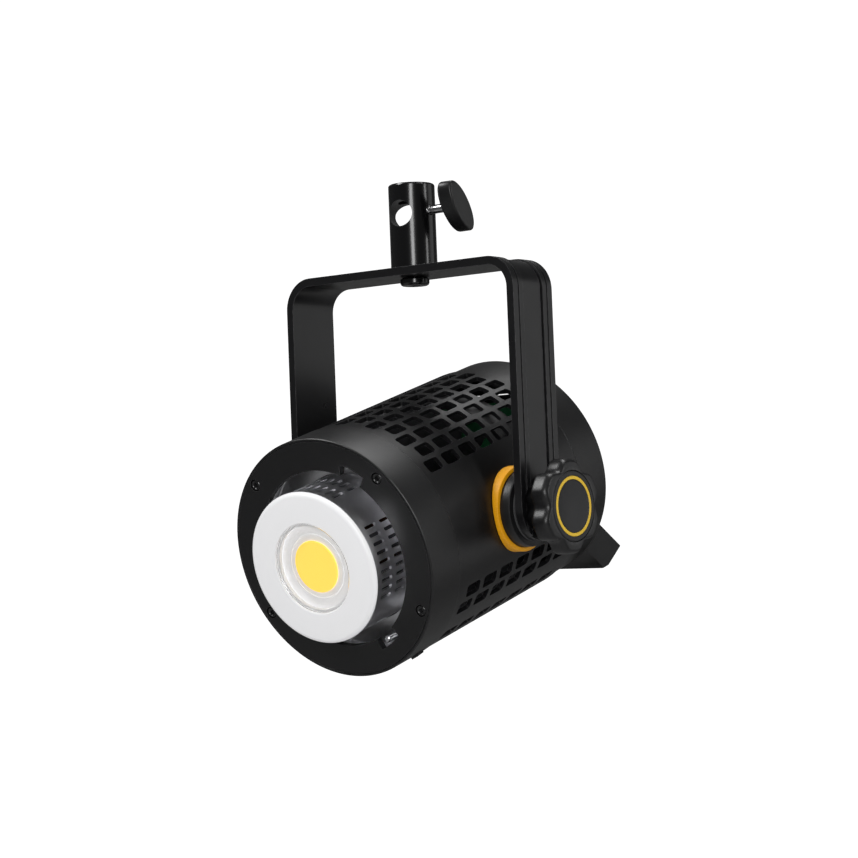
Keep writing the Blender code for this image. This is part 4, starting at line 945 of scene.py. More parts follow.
@dataclass(frozen=True)
class Yoke:
    """The U strap with its ribbed outer face, bent from a flat strip.

    Attributes:
        top: Height of the strap's top above the pivot.
        thick: Its thickness.
        width: Its width.
        corner: Outer radius of its corners.
        reach: The legs' outer distance from the middle.
        hole: Radius of its bolt holes.
        hole_margin: From a hole to the square of faces it is drilled in.
        bend_steps: Steps in each bend.
        ribs: (distance from the middle line, height) points of the outer face, from the middle out.
    """

    top: float = 143.6 * MM
    thick: float = STRAP_THICK
    width: float = 37.2 * MM
    corner: float = 18.5 * MM
    reach: float = LEG_FACE
    hole: float = 4.4 * MM
    hole_margin: float = 2.0 * MM
    bend_steps: int = 14
    ribs: tuple[tuple[float, float], ...] = (
        (8.1 * MM, -1.0 * MM), (8.4 * MM, -1.7 * MM), (9.3 * MM, -1.7 * MM), (9.6 * MM, 0.0), (12.9 * MM, 0.0),
        (13.2 * MM, -0.9 * MM), (14.0 * MM, -0.9 * MM), (14.3 * MM, 0.0),
    )

    def level(self, across: float) -> float:
        """Gives the outer face's height at a distance from the middle line."""
        return next((height for edge, height in self.ribs if abs(across) <= edge + WELD * 100), 0.0)

    def bent(self, flat: Vector) -> Vector:
        """Bends a point of the flat strip round the U.

        Args:
            flat: X along the strip from the crossbar's middle, Y across it, and Z above the outer face.

        Returns:
            The point in the upright space.
        """
        side = math.copysign(1.0, flat.x)
        straight = self.reach - self.corner
        run = abs(flat.x) - straight
        bend = self.corner * math.pi / 2.0
        if run <= 0.0:
            return Vector((flat.x, flat.y, self.top + flat.z))
        if run < bend:
            turn = run / self.corner
            radius = self.corner + flat.z
            across, up = straight + radius * math.sin(turn), self.top - self.corner + radius * math.cos(turn)
            return Vector((side * across, flat.y, up))
        return Vector((side * (self.reach + flat.z), flat.y, self.top - self.corner - (run - bend)))

    def strip(self) -> bmesh.types.BMesh:
        """Lays the strip out flat, with round ends, bolt holes and the lines of its ribs.

        Returns:
            The flat strip, one face thick.
        """
        half = self.width / 2.0
        pivot = self.reach - self.corner + self.corner * math.pi / 2.0 + self.top - self.corner
        bm = bmesh.new()
        bmesh.ops.create_grid(
            bm, x_segments=1, y_segments=1, size=0.5, matrix=Matrix.Diagonal((2.0 * pivot, self.width, 1.0, 1.0))
        )
        for side in (-1.0, 1.0):
            middle = Matrix.Translation((side * pivot, 0.0, 0.0))
            end = bmesh.ops.create_circle(bm, cap_ends=True, segments=SMALL_STEPS, radius=half, matrix=middle)
            geom = end["verts"] + list({e for v in end["verts"] for e in v.link_edges})
            geom += list({f for v in end["verts"] for f in v.link_faces})
            bmesh.ops.bisect_plane(
                bm, geom=geom, plane_co=(side * pivot, 0.0, 0.0), plane_no=(side, 0.0, 0.0), clear_inner=True
            )
        bmesh.ops.remove_doubles(bm, verts=bm.verts, dist=WELD * 100)
        square = self.hole + self.hole_margin
        straight, steps = self.reach - self.corner, self.bend_steps
        bends = [straight + self.corner * math.pi / 2.0 * i / steps for i in range(steps + 1)]
        along = {side * place for place in bends for side in (-1.0, 1.0)}
        along |= {middle + side * square for middle in (-pivot, 0.0, pivot) for side in (-1.0, 1.0)}
        across = {side * edge for edge, _ in self.ribs for side in (-1.0, 1.0)} | {-square, square}
        cuts = [((x, 0.0, 0.0), (1.0, 0.0, 0.0)) for x in along] + [((0.0, y, 0.0), (0.0, 1.0, 0.0)) for y in across]
        for place, facing in cuts:
            everything = bm.verts[:] + bm.edges[:] + bm.faces[:]
            bmesh.ops.bisect_plane(bm, geom=everything, plane_co=place, plane_no=facing)
        for middle in (-pivot, 0.0, pivot):
            self.drill(bm, middle, square)
        return bm

    def drill(self, bm: bmesh.types.BMesh, middle: float, square: float) -> None:
        """Opens a round bolt hole in the flat strip.

        Args:
            bm: The strip.
            middle: Where the hole's centre lies along it.
            square: Half the side of the square of faces that the hole is drilled in.
        """
        inside = [
            f for f in bm.faces
            if abs(f.calc_center_median().x - middle) < square and abs(f.calc_center_median().y) < square
        ]
        rim = [e for e in {e for f in inside for e in f.edges} if sum(f in inside for f in e.link_faces) == 1]
        bmesh.ops.delete(bm, geom=inside, context="FACES_ONLY")
        ring = bmesh.ops.create_circle(
            bm, cap_ends=False, segments=HOLE_STEPS, radius=self.hole, matrix=Matrix.Translation((middle, 0.0, 0.0))
        )
        circle = list({e for v in ring["verts"] for e in v.link_edges})
        bmesh.ops.bridge_loops(bm, edges=rim + circle)
        loose = [e for e in bm.edges if not e.link_faces]
        bmesh.ops.delete(bm, geom=loose, context="EDGES")

    def build(self) -> None:
        """Builds the yoke."""
        bm = self.strip()
        grown = bmesh.ops.extrude_face_region(bm, geom=bm.faces[:], use_keep_orig=True)
        under = {item for item in grown["geom"] if isinstance(item, bmesh.types.BMVert)}
        for vert in bm.verts:
            vert.co.z = -self.thick if vert in under else self.level(vert.co.y)
            vert.co = self.bent(vert.co)
        make_piece("yoke_strap", cleaned(bm), UPRIGHT, ANODISED_BLACK, "yoke", edge=0.28 * MM, segments=3)


@dataclass(frozen=True)
class Receiver:
    """The spigot receiver on the crossbar, and the socket bolt that holds it from below.

    Attributes:
        foot: Height of its foot above the pivot.
        mouth: Height of its mouth.
        radius: Its outer radius.
        bore: Radius of the spigot's bore.
        floor: Thickness of its floor.
        cross: Radius of the cross bore.
        cross_drop: How far the cross bore lies below the mouth.
        cross_offset: How far it lies to the side.
        cross_turn: How far it is turned round the receiver.
        thread: Radius of the bolt's hole in the floor.
        clamp_drop: How far the clamp screw lies below the mouth.
        clamp_hole: Radius of the clamp screw's hole.
        bolt_head: Radius of the bolt's head.
        bolt_depth: Height of the bolt's head.
        key_depth: Depth of the socket in it.
        strap: Thickness of the strap that the bolt holds.
    """

    foot: float = 143.9 * MM
    mouth: float = RECEIVER_MOUTH
    radius: float = 13.75 * MM
    bore: float = 8.1 * MM
    floor: float = 9.0 * MM
    cross: float = 7.7 * MM
    cross_drop: float = 18.0 * MM
    cross_offset: float = 4.4 * MM
    cross_turn: float = math.radians(24.0)
    thread: float = 4.4 * MM
    clamp_drop: float = 16.5 * MM
    clamp_hole: float = 3.15 * MM
    bolt_head: float = 8.6 * MM
    bolt_depth: float = 4.7 * MM
    key_depth: float = 2.4 * MM
    strap: float = STRAP_THICK

    def build_body(self) -> None:
        """Builds the receiver's tube."""
        rim, lead, ease = 1.2 * MM, 0.8 * MM, 0.5 * MM
        mid = 0.35 * rim  # of the rim's round edge, at its middle
        floor = self.foot + self.floor
        outline = [(self.mouth - lead, self.bore), (self.mouth, self.bore + lead), (self.mouth, self.radius - rim)]
        outline += [(self.mouth - mid, self.radius - mid), (self.mouth - rim, self.radius)]
        outline += [(self.foot + ease, self.radius), (self.foot, self.radius - ease)]
        outline += [(self.foot, self.thread), (floor, self.thread), (floor, self.bore)]
        sideways = Matrix.Rotation(self.cross_turn, 4, "Z") @ Matrix.Translation((-self.cross_offset, 0.0, 0.0))
        place = Matrix.Translation((0.0, 0.0, self.mouth - self.cross_drop)) @ sideways
        reach = 2.0 * self.radius
        cross = moved(rod(-reach, reach, self.cross, steps=BOLT_STEPS), place)
        clamp = rod(0.0, reach, self.clamp_hole, Axis.X, HOLE_STEPS)
        clamp = moved(clamp, (0.0, 0.0, self.mouth - self.clamp_drop))
        bm = carved(turned(outline, Axis.Z, 96), [cross, clamp])
        make_piece("receiver_body", bm, UPRIGHT, GLOSS_PAINT, "receiver_tube", edge=0.35 * MM, segments=3)

    def build_bolt(self) -> None:
        """Builds the low socket bolt under the crossbar."""
        seat = self.foot - self.strap - 2.0 * GAP
        head = seat - self.bolt_depth
        wide = self.bolt_head
        shank = self.thread - 0.4 * MM
        end = self.foot + self.floor - GAP
        outline = [(head, 0.0), (head, wide - 1.3 * MM), (head + 0.5 * MM, wide - 0.5 * MM)]
        outline += [(head + 1.4 * MM, wide), (seat - 1.0 * MM, wide), (seat, wide - 1.0 * MM)]
        outline += [(seat, shank), (end, shank), (end, 0.0)]
        key = rod(head - 1.0 * MM, head + self.key_depth, BOLT_KEY, Axis.Z, HEXAGON)
        bm = carved(turned(outline, Axis.Z, BOLT_STEPS), [key])
        make_piece("receiver_cap_bolt", bm, UPRIGHT, GLOSS_PAINT, "receiver_bolt", edge=0.2 * MM)

    def build(self) -> None:
        """Builds the receiver and its bolt."""
        self.build_body()
        self.build_bolt()


@dataclass(frozen=True)
class Clamp:
    """The clamp screw in the receiver's side and the oval paddle that turns it.

    Attributes:
        height: Height of its axis above the pivot.
        tip: Where the screw's tip lies along X.
        start: Where the paddle's boss starts.
        length: The paddle's length.
        width: Its width.
        thick: Its thickness.
        boss: Thickness of its boss.
        lean: How far the paddle is turned.
        screw: The screw's radius.
        groove: Depth of its thread.
        pitch: Its thread's pitch.
        neck: Where its thread ends along X.
        depth: How deep it reaches into the paddle.
    """

    height: float = 177.4 * MM
    tip: float = 8.7 * MM
    start: float = 24.4 * MM
    length: float = 33.0 * MM
    width: float = 14.0 * MM
    thick: float = 11.0 * MM
    boss: float = 2.6 * MM
    lean: float = math.radians(35.0)
    screw: float = 2.75 * MM
    groove: float = 0.45 * MM
    pitch: float = 1.25 * MM
    neck: float = 14.6 * MM
    depth: float = 9.2 * MM

    def build_screw(self) -> None:
        """Builds the threaded rod, with a plain neck outside the receiver."""
        root = self.screw - self.groove
        plain = self.screw - 0.1 * MM
        outline = [(self.tip, 0.0), (self.tip, root - 0.4 * MM)]
        place = self.tip + 0.5 * MM
        while place + self.pitch < self.neck:
            outline += [(place, root), (place + self.pitch * 0.5, self.screw)]
            place += self.pitch
        end = self.start + self.depth - GAP
        outline += [(self.neck, root), (self.neck + 0.4 * MM, root), (self.neck + 0.8 * MM, plain)]
        outline += [(end, plain), (end, 0.0)]
        space = UPRIGHT @ Matrix.Translation((0.0, 0.0, self.height))
        make_piece("clamp_rod", turned(outline, Axis.X, ROD_STEPS), space, BRIGHT_STEEL, "clamp_screw")

    def build_paddle(self) -> None:
        """Builds the oval paddle with its round boss."""
        bm = bmesh.new()
        bmesh.ops.create_circle(bm, cap_ends=True, segments=72, radius=1.0)
        long, short = self.length / 2.0, self.width / 2.0
        bmesh.ops.scale(bm, verts=bm.verts, vec=(long, short, 1.0))
        lip, lip_draw = 2.2 * MM, 0.7  # the round edge on the boss's side, and its share drawn in
        far, far_draw = 1.5 * MM, 0.9  # the same of the outer edge
        swell = quarter(4)
        stages = [(lip - lip * math.cos(t), 1.0 - (1.0 - math.sin(t)) * lip / short * lip_draw) for t in swell]
        first = stages[0][1]
        bmesh.ops.scale(bm, verts=bm.verts, vec=(first, first, 1.0))
        rise = [(height, share / first) for height, share in stages[1:]]
        for t in swell:
            share = 1.0 - far / short * (1.0 - math.cos(t)) * far_draw
            rise.append((self.thick - far + far * math.sin(t), share / first))
        blade = moved(staged(bm, rise), (0.0, 0.0, self.boss))
        inner = self.boss + MM
        outline = [(0.0, 0.0), (0.0, 4.3 * MM), (0.5 * MM, 4.8 * MM), (inner, 5.4 * MM), (inner, 0.0)]
        collar = turned(outline, Axis.Z, SMALL_STEPS)
        along_x = Matrix.Rotation(math.pi / 2.0, 4, "Y") @ Matrix.Rotation(self.lean, 4, "Z")
        shape = moved(merged(blade, collar), Matrix.Translation((self.start, 0.0, 0.0)) @ along_x)
        hole = rod(self.start - MM, self.start + self.depth, self.screw + GAP, Axis.X, ROD_STEPS)
        space = UPRIGHT @ Matrix.Translation((0.0, 0.0, self.height))
        bm = carved(shape, [hole])
        make_piece("clamp_paddle", bm, space, BLACK_PLASTIC, "clamp_handle", edge=0.35 * MM)

    def build(self) -> None:
        """Builds the screw and its paddle."""
        self.build_screw()
        self.build_paddle()


# ---------------------------------------------------------------- pivots and tilt knob


@dataclass(frozen=True)
class TiltKnob:
    """The star knob outside the right leg, with its cap, inlaid ring and bolt.

    Attributes:
        start: Where the knob starts along X.
        length: Its length.
        radius: Its outer radius.
        scallops: How many scallops are bitten out of its rim.
        bite: Depth of a scallop.
        bite_turn: How far round a scallop reaches.
        cap: Radius of its cap.
        cap_thick: Thickness of the cap.
        ring: Middle radius of the inlaid ring.
        ring_width: Its width.
        ring_depth: Its depth.
        bolt: Radius of the bolt.
        bolt_depth: How deep the bolt reaches into the knob.
        neck: The neck's share of the outline.
        rise: (height, share of the outline) from the neck to the full star.
        lip: Radius of the round edge of the face.
        lip_ease: How much wider than the star the edge's shares are reckoned.
        dish: How far the cap's middle is sunk.
    """

    start: float = 85.8 * MM
    length: float = 22.2 * MM
    radius: float = 26.9 * MM
    scallops: int = 6
    bite: float = 4.0 * MM
    bite_turn: float = math.radians(42.0)
    cap: float = 20.0 * MM
    cap_thick: float = 2.6 * MM
    ring: float = 16.05 * MM
    ring_width: float = 1.9 * MM
    ring_depth: float = 0.8 * MM
    bolt: float = 4.0 * MM
    bolt_depth: float = 12.0 * MM
    neck: float = 0.62
    rise: tuple[tuple[float, float], ...] = (
        (0.4 * MM, 0.635), (8.0 * MM, 0.635), (8.9 * MM, 0.68), (10.2 * MM, 0.92), (10.8 * MM, 0.97),
        (11.6 * MM, 0.993), (12.6 * MM, 1.0),
    )
    lip: float = 4.2 * MM
    lip_ease: float = 1.25
    dish: float = 0.35 * MM

    def star(self) -> bmesh.types.BMesh:
        """Makes the knob's flat outline.

        Returns:
            One face with round scallops.
        """
        bm = bmesh.new()
        bmesh.ops.create_circle(bm, cap_ends=True, segments=180, radius=self.radius)
        for vert in bm.verts:
            off = math.remainder(math.atan2(vert.co.y, vert.co.x) - math.pi / 2.0, math.tau / self.scallops)
            share = math.cos(math.pi * off / self.bite_turn) ** 2 if abs(off) < self.bite_turn / 2.0 else 0.0
            vert.co *= 1.0 - self.bite / self.radius * share
        return bm

    def build_knob(self) -> None:
        """Builds the star."""
        bm = self.star()
        bmesh.ops.scale(bm, verts=bm.verts, vec=(self.neck, self.neck, 1.0))
        edge = rounded_stages(self.length - GAP, self.lip, self.radius * self.lip_ease, 8)
        stages = [(up, share / self.neck) for up, share in (*self.rise, *edge)]
        shape = moved(staged(bm, stages), Matrix.Rotation(math.pi / 2.0, 4, "Y"))
        shape = moved(shape, (self.start, 0.0, 0.0))
        pocket = self.start + self.length - self.cap_thick
        recess = rod(pocket, pocket + 2.0 * self.cap_thick, self.cap + GAP, Axis.X, DISC_STEPS)
        hole = rod(self.start - MM, self.start + self.bolt_depth, self.bolt + GAP, Axis.X, ROD_STEPS)
        bm = carved(shape, [recess, hole])
        make_piece("knob_star", bm, UPRIGHT, BLACK_PLASTIC, "tilt_knob", edge=0.3 * MM, segments=2)

    def build_cap(self) -> None:
        """Builds the cap in the knob's face, and the ring inlaid in it."""
        front = self.start + self.length
        back = front - self.cap_thick + GAP
        half, room = self.ring_width / 2.0, GAP / 2.0
        low, high = self.ring - half - room, self.ring + half + room
        floor = front - self.ring_depth - GAP
        sunk = front - self.dish
        outline = [(back, 0.0), (back, self.cap), (front - 0.5 * MM, self.cap), (front, self.cap - 0.6 * MM)]
        outline += [(front, high), (floor, high), (floor, low), (front, low), (sunk, low - 1.2 * MM), (sunk, 0.0)]
        disc = turned(outline, Axis.X, DISC_STEPS)
        make_piece("knob_disc", disc, UPRIGHT, CAP_GREY, "knob_cap", edge=0.12 * MM, segments=2)
        crown = front - 0.05 * MM
        inlay = [(floor + room, low + room), (crown, low + room), (crown, high - room), (floor + room, high - room)]
        ring = turned(inlay, Axis.X, DISC_STEPS)
        make_piece("knob_inlay", ring, UPRIGHT, YELLOW_INLAY, "knob_ring", edge=0.2 * MM, segments=2)

    def build(self) -> None:
        """Builds the knob, its cap and its ring, and dresses the bolt inside."""
        self.build_knob()
        self.build_cap()
        dress_node("tilt_bolt", BRIGHT_STEEL)


@dataclass(frozen=True)
class Pivots:
    """The bosses between the head and the yoke's legs, their rings and washers, and the left bolt.

    Attributes:
        root: How deep the bosses start from the middle.
        end: Where they end.
        boss: A boss's radius.
        ring: Outer radius of its coloured ring.
        ring_end: Where the ring ends.
        body: Radius of the housing the bosses sit on.
        hole: Radius of the bolt's hole.
        washer: Radius of the friction washer.
        washer_thick: Its thickness.
        leg: Outer face of the yoke's legs.
        bolt_head: Radius of the left bolt's head.
        bolt_depth: Height of that head.
        bolt_reach: How far that bolt reaches in from the leg's outer face.
        key_depth: Depth of its socket.
        ease: Radius of a boss's round edge.
        ring_ease: Radius of a ring's round edge.
        cutter: Half the length of the shape cut from their roots.
    """

    root: float = 57.6 * MM
    end: float = 79.2 * MM
    boss: float = 22.0 * MM
    ring: float = 24.6 * MM
    ring_end: float = 72.8 * MM
    body: float = BODY_RADIUS
    hole: float = 4.3 * MM
    washer: float = 19.0 * MM
    washer_thick: float = 0.9 * MM
    leg: float = LEG_FACE
    bolt_head: float = 11.0 * MM
    bolt_depth: float = 5.5 * MM
    bolt_reach: float = 14.1 * MM
    key_depth: float = 2.8 * MM
    ease: float = 1.2 * MM
    ring_ease: float = 0.8 * MM
    cutter: float = 60.0 * MM

    def saddled(self, outline: Outline, side: float) -> bmesh.types.BMesh:
        """Turns a ring round X and cuts the housing's shape out of its root."""
        ring = turned([(side * along, radius) for along, radius in outline], Axis.X, DISC_STEPS)
        return carved(ring, [rod(-self.cutter, self.cutter, self.body + GAP, steps=WIDE_STEPS)])

    def collar(self, inner: float, outer: float, end: float, ease: float) -> Outline:
        """Draws a collar with a round outer edge."""
        mid = 0.3 * ease
        rim = [(end - ease, outer), (end - mid, outer - mid), (end, outer - ease)]
        return [(self.root, inner), (self.root, outer), *rim, (end, inner)]

    def build_side(self, name: str, side: float) -> None:
        """Builds one side's boss, ring and washer.

        Args:
            name: Left or right.
            side: -1 for the left, 1 for the right.
        """
        boss = self.saddled(self.collar(self.hole, self.boss, self.end, self.ease), side)
        make_piece(f"boss_{name}", boss, HEAD, SATIN_PAINT, f"pivot_boss_{name}", edge=0.2 * MM, segments=2)
        ring = self.saddled(self.collar(self.boss + GAP, self.ring, self.ring_end, self.ring_ease), side)
        make_piece(f"ring_{name}", ring, HEAD, YELLOW_RUBBER, f"pivot_ring_{name}", edge=0.15 * MM, segments=2)
        low = side * (self.end + GAP)
        high = side * (self.end + GAP + self.washer_thick)
        outline = [(low, self.hole), (low, self.washer), (high, self.washer), (high, self.hole)]
        disc, node = turned(outline, Axis.X, BOLT_STEPS), f"friction_washer_{name}"
        make_piece(f"washer_{name}", disc, HEAD, FRICTION_FIBRE, node, edge=0.12 * MM, segments=2)

    def build_left_bolt(self) -> None:
        """Builds the low socket bolt that the left leg turns on."""
        seat = -self.leg - GAP
        face = seat - self.bolt_depth
        shank = self.hole - GAP
        inner = seat + self.bolt_reach
        wide = self.bolt_head
        outline = [(face, 0.0), (face, wide - 2.2 * MM), (face + 0.7 * MM, wide - 0.8 * MM)]
        outline += [(face + 2.0 * MM, wide), (seat, wide), (seat, shank), (inner, shank), (inner, 0.0)]
        key = rod(face - MM, face + self.key_depth, BOLT_KEY, Axis.X, HEXAGON)
        bm = carved(turned(outline, Axis.X, BOLT_STEPS), [key])
        make_piece("left_bolt", bm, HEAD, ANODISED_BLACK, "left_pivot_bolt", edge=0.25 * MM)

    def build(self) -> None:
        """Builds both sides and the left bolt."""
        for name, side in (("left", -1.0), ("right", 1.0)):
            self.build_side(name, side)
        self.build_left_bolt()


# ---------------------------------------------------------------- head shells


@dataclass(frozen=True)
class Vents:
    """The housing's rows of vents, on its top and its belly.

    Attributes:
        length: A vent's length along the lamp's axis.
        turn: Its width, as an angle.
        pitch: From one vent to the next in a row.
        row_turn: From one row to the next.
        count: Vents in a row.
        start: Distance of a row's first centre behind the housing's front.
        shift: How far every other row is moved back.
        top: The top's rows, counted from straight up.
        belly: The belly's rows.
        belly_turn: How far the belly's rows are turned on.
        far_row: The belly's row that is turned on from either side.
    """

    length: float = 12.7 * MM
    turn: float = math.radians(6.6)
    pitch: float = 16.3 * MM
    row_turn: float = math.radians(8.9)
    count: int = 7
    start: float = 11.5 * MM
    shift: float = 4.1 * MM
    top: tuple[int, ...] = tuple(range(-6, 7))
    belly: tuple[int, ...] = (-19, -18, -17, -16, -14, -13, 13, 14, 16, 17, 18, 19, 20)
    belly_turn: float = math.radians(2.0)
    far_row: int = 20

    def openings(self, front: float) -> tuple[Opening, ...]:
        """Lists every vent.

        Args:
            front: Where the housing starts.

        Returns:
            The openings.
        """
        rows = [(row * self.row_turn, row) for row in self.top]
        for row in self.belly:
            sign = 1.0 if row == self.far_row else math.copysign(1.0, row)
            rows.append((row * self.row_turn + sign * self.belly_turn, row))
        found = []
        for angle, row in rows:
            for i in range(self.count):
                middle = front + self.start + row % 2 * self.shift + i * self.pitch
                found.append(Opening(angle, self.turn, middle - self.length / 2.0, middle + self.length / 2.0))
        return tuple(found)


@dataclass(frozen=True)
class Shells:
    """The perforated housing, the bezel ahead of it, the rear cap and the foot bracket.

    Attributes:
        radius: The housing's radius.
        front: Where the housing starts.
        rear: Where it ends.
        wall: Its wall.
        face: Where the bezel starts.
        bezel: The bezel's radius.
        cap: The rear cap's radius.
        cap_start: Where the cap starts.
        cap_rear: Where it ends.
        bezel_rim: Thickness of the bezel's rim round the plate.
        bezel_wall: The bezel's wall behind the plate.
        plate: Thickness of the plate it holds.
        flange: Inner radius of the flange the plate sits on.
        cap_wall: The cap's wall.
        spigot: How far the cap reaches into the housing.
        vent_corner: Radius of a vent's corners.
        slot: (half its width, distance behind the plate, length) of the slider's slot in the bezel.
        foot_length: The foot bracket's length.
        foot_wall: Its wall.
        foot_top: (half its width, height) of its top.
        foot_bottom: The same of its bottom.
        foot_rise: How far its underside rises to the rear.
        foot_level: How far it runs level first.
    """

    radius: float = BODY_RADIUS
    front: float = -61.4 * MM
    rear: float = 64.4 * MM
    wall: float = 2.5 * MM
    face: float = PLATE_FACE
    bezel: float = BEZEL_RADIUS
    bezel_rim: float = 1.5 * MM
    bezel_wall: float = 3.0 * MM
    plate: float = PLATE_THICK
    flange: float = 60.3 * MM
    cap: float = 68.5 * MM
    cap_start: float = 65.9 * MM
    cap_rear: float = 93.5 * MM
    cap_wall: float = 3.6 * MM
    spigot: float = 7.0 * MM
    vent_corner: float = 2.8 * MM
    slot: tuple[float, float, float] = (3.4 * MM, 7.8 * MM, 9.8 * MM)
    foot_length: float = 28.0 * MM
    foot_wall: float = 3.0 * MM
    foot_top: tuple[float, float] = (19.0 * MM, -28.0 * MM)
    foot_bottom: tuple[float, float] = (52.0 * MM, -66.5 * MM)
    foot_rise: float = 5.0 * MM
    foot_level: float = 6.0 * MM

    def build_housing(self) -> None:
        """Builds the perforated middle tube."""
        start, seam = self.front + GAP, math.radians(90.0)
        openings = Vents().openings(self.front)
        bm = PerforatedSkin(self.radius, start, self.rear, openings, self.vent_corner, seam).build()
        make_piece("housing_shell", bm, HEAD, HOUSING_PAINT, "housing", edge=0.35 * MM, segments=2, wall=self.wall)

    def build_bezel(self) -> None:
        """Builds the plain front ring that holds the plate."""
        seat = self.face + self.plate + GAP
        pocket = self.bezel - self.bezel_rim
        wall = self.bezel - self.bezel_wall
        back = seat + 4.0 * MM
        outline = [(self.face, pocket), (self.face, self.bezel - 0.5 * MM), (self.face + 0.5 * MM, self.bezel)]
        outline += [(self.front - 0.3 * MM, self.bezel), (self.front, self.bezel - 0.3 * MM), (self.front, wall)]
        outline += [(back, wall), (back, self.flange), (seat, self.flange), (seat, pocket)]
        half, setback, length = self.slot
        low = (-half, seat + setback, -self.bezel - MM)
        slot = block(low, (half, seat + setback + length, -self.flange))
        turn = Matrix.Rotation(LOCK_ANGLE - math.pi, 4, "Y")
        bm = carved(turned(outline, steps=WIDE_STEPS), [moved(slot, turn)])
        make_piece("bezel", bm, HEAD, SATIN_PAINT, "bezel_ring", edge=0.25 * MM)

    def build_cap(self) -> None:
        """Builds the plain rear ring."""
        inner = self.cap - self.cap_wall
        spigot = self.radius - self.wall - GAP
        ease = 2.4 * MM
        outline = [(self.rear - self.spigot, inner), (self.rear - self.spigot, spigot), (self.cap_start, spigot)]
        outline += [(self.cap_start, self.cap - 0.6 * MM), (self.cap_start + 0.6 * MM, self.cap)]
        rear, cap = self.cap_rear - ease, self.cap - ease
        outline += [(rear + ease * math.sin(t), cap + ease * math.cos(t)) for t in quarter(6)]
        outline += [(self.cap_rear, inner)]
        bm = turned(outline, steps=WIDE_STEPS)
        make_piece("rear_ring", bm, HEAD, SATIN_PAINT, "rear_cap", edge=0.25 * MM, segments=2)

    def build_foot(self) -> None:
        """Builds the hollow trapezium bracket behind the cap."""
        (top_x, top_z), (low_x, low_z) = self.foot_top, self.foot_bottom
        bm = bmesh.new()
        outline = [(top_x, top_z), (low_x, low_z), (-low_x, low_z), (-top_x, top_z)]
        start = self.cap_rear + GAP
        face = bm.faces.new([bm.verts.new((x, start, z)) for x, z in outline])
        bmesh.ops.inset_region(
            bm, faces=[face], thickness=self.foot_wall, use_boundary=True, use_even_offset=True
        )
        bmesh.ops.delete(bm, geom=[face], context="FACES")
        depths = (self.foot_level, self.foot_length - self.foot_level)
        band = bm.faces[:]
        for number, depth in enumerate(depths):
            grown = bmesh.ops.extrude_face_region(bm, geom=band, use_keep_orig=number == 0)
            band = [item for item in grown["geom"] if isinstance(item, bmesh.types.BMFace)]
            verts = [item for item in grown["geom"] if isinstance(item, bmesh.types.BMVert)]
            bmesh.ops.translate(bm, verts=verts, vec=(0.0, depth, 0.0))
        lean = (low_x - top_x) / (top_z - low_z)
        for vert in {v for f in band for v in f.verts}:
            if vert.co.z < (top_z + low_z) / 2.0:
                vert.co.z += self.foot_rise
                vert.co.x -= math.copysign(self.foot_rise * lean, vert.co.x)
        make_piece("foot_bracket", cleaned(bm), HEAD, SATIN_PAINT, "foot", edge=1.1 * MM, segments=4)

    def build(self) -> None:
        """Builds the four shells."""
        self.build_housing()
        self.build_bezel()
        self.build_cap()
        self.build_foot()


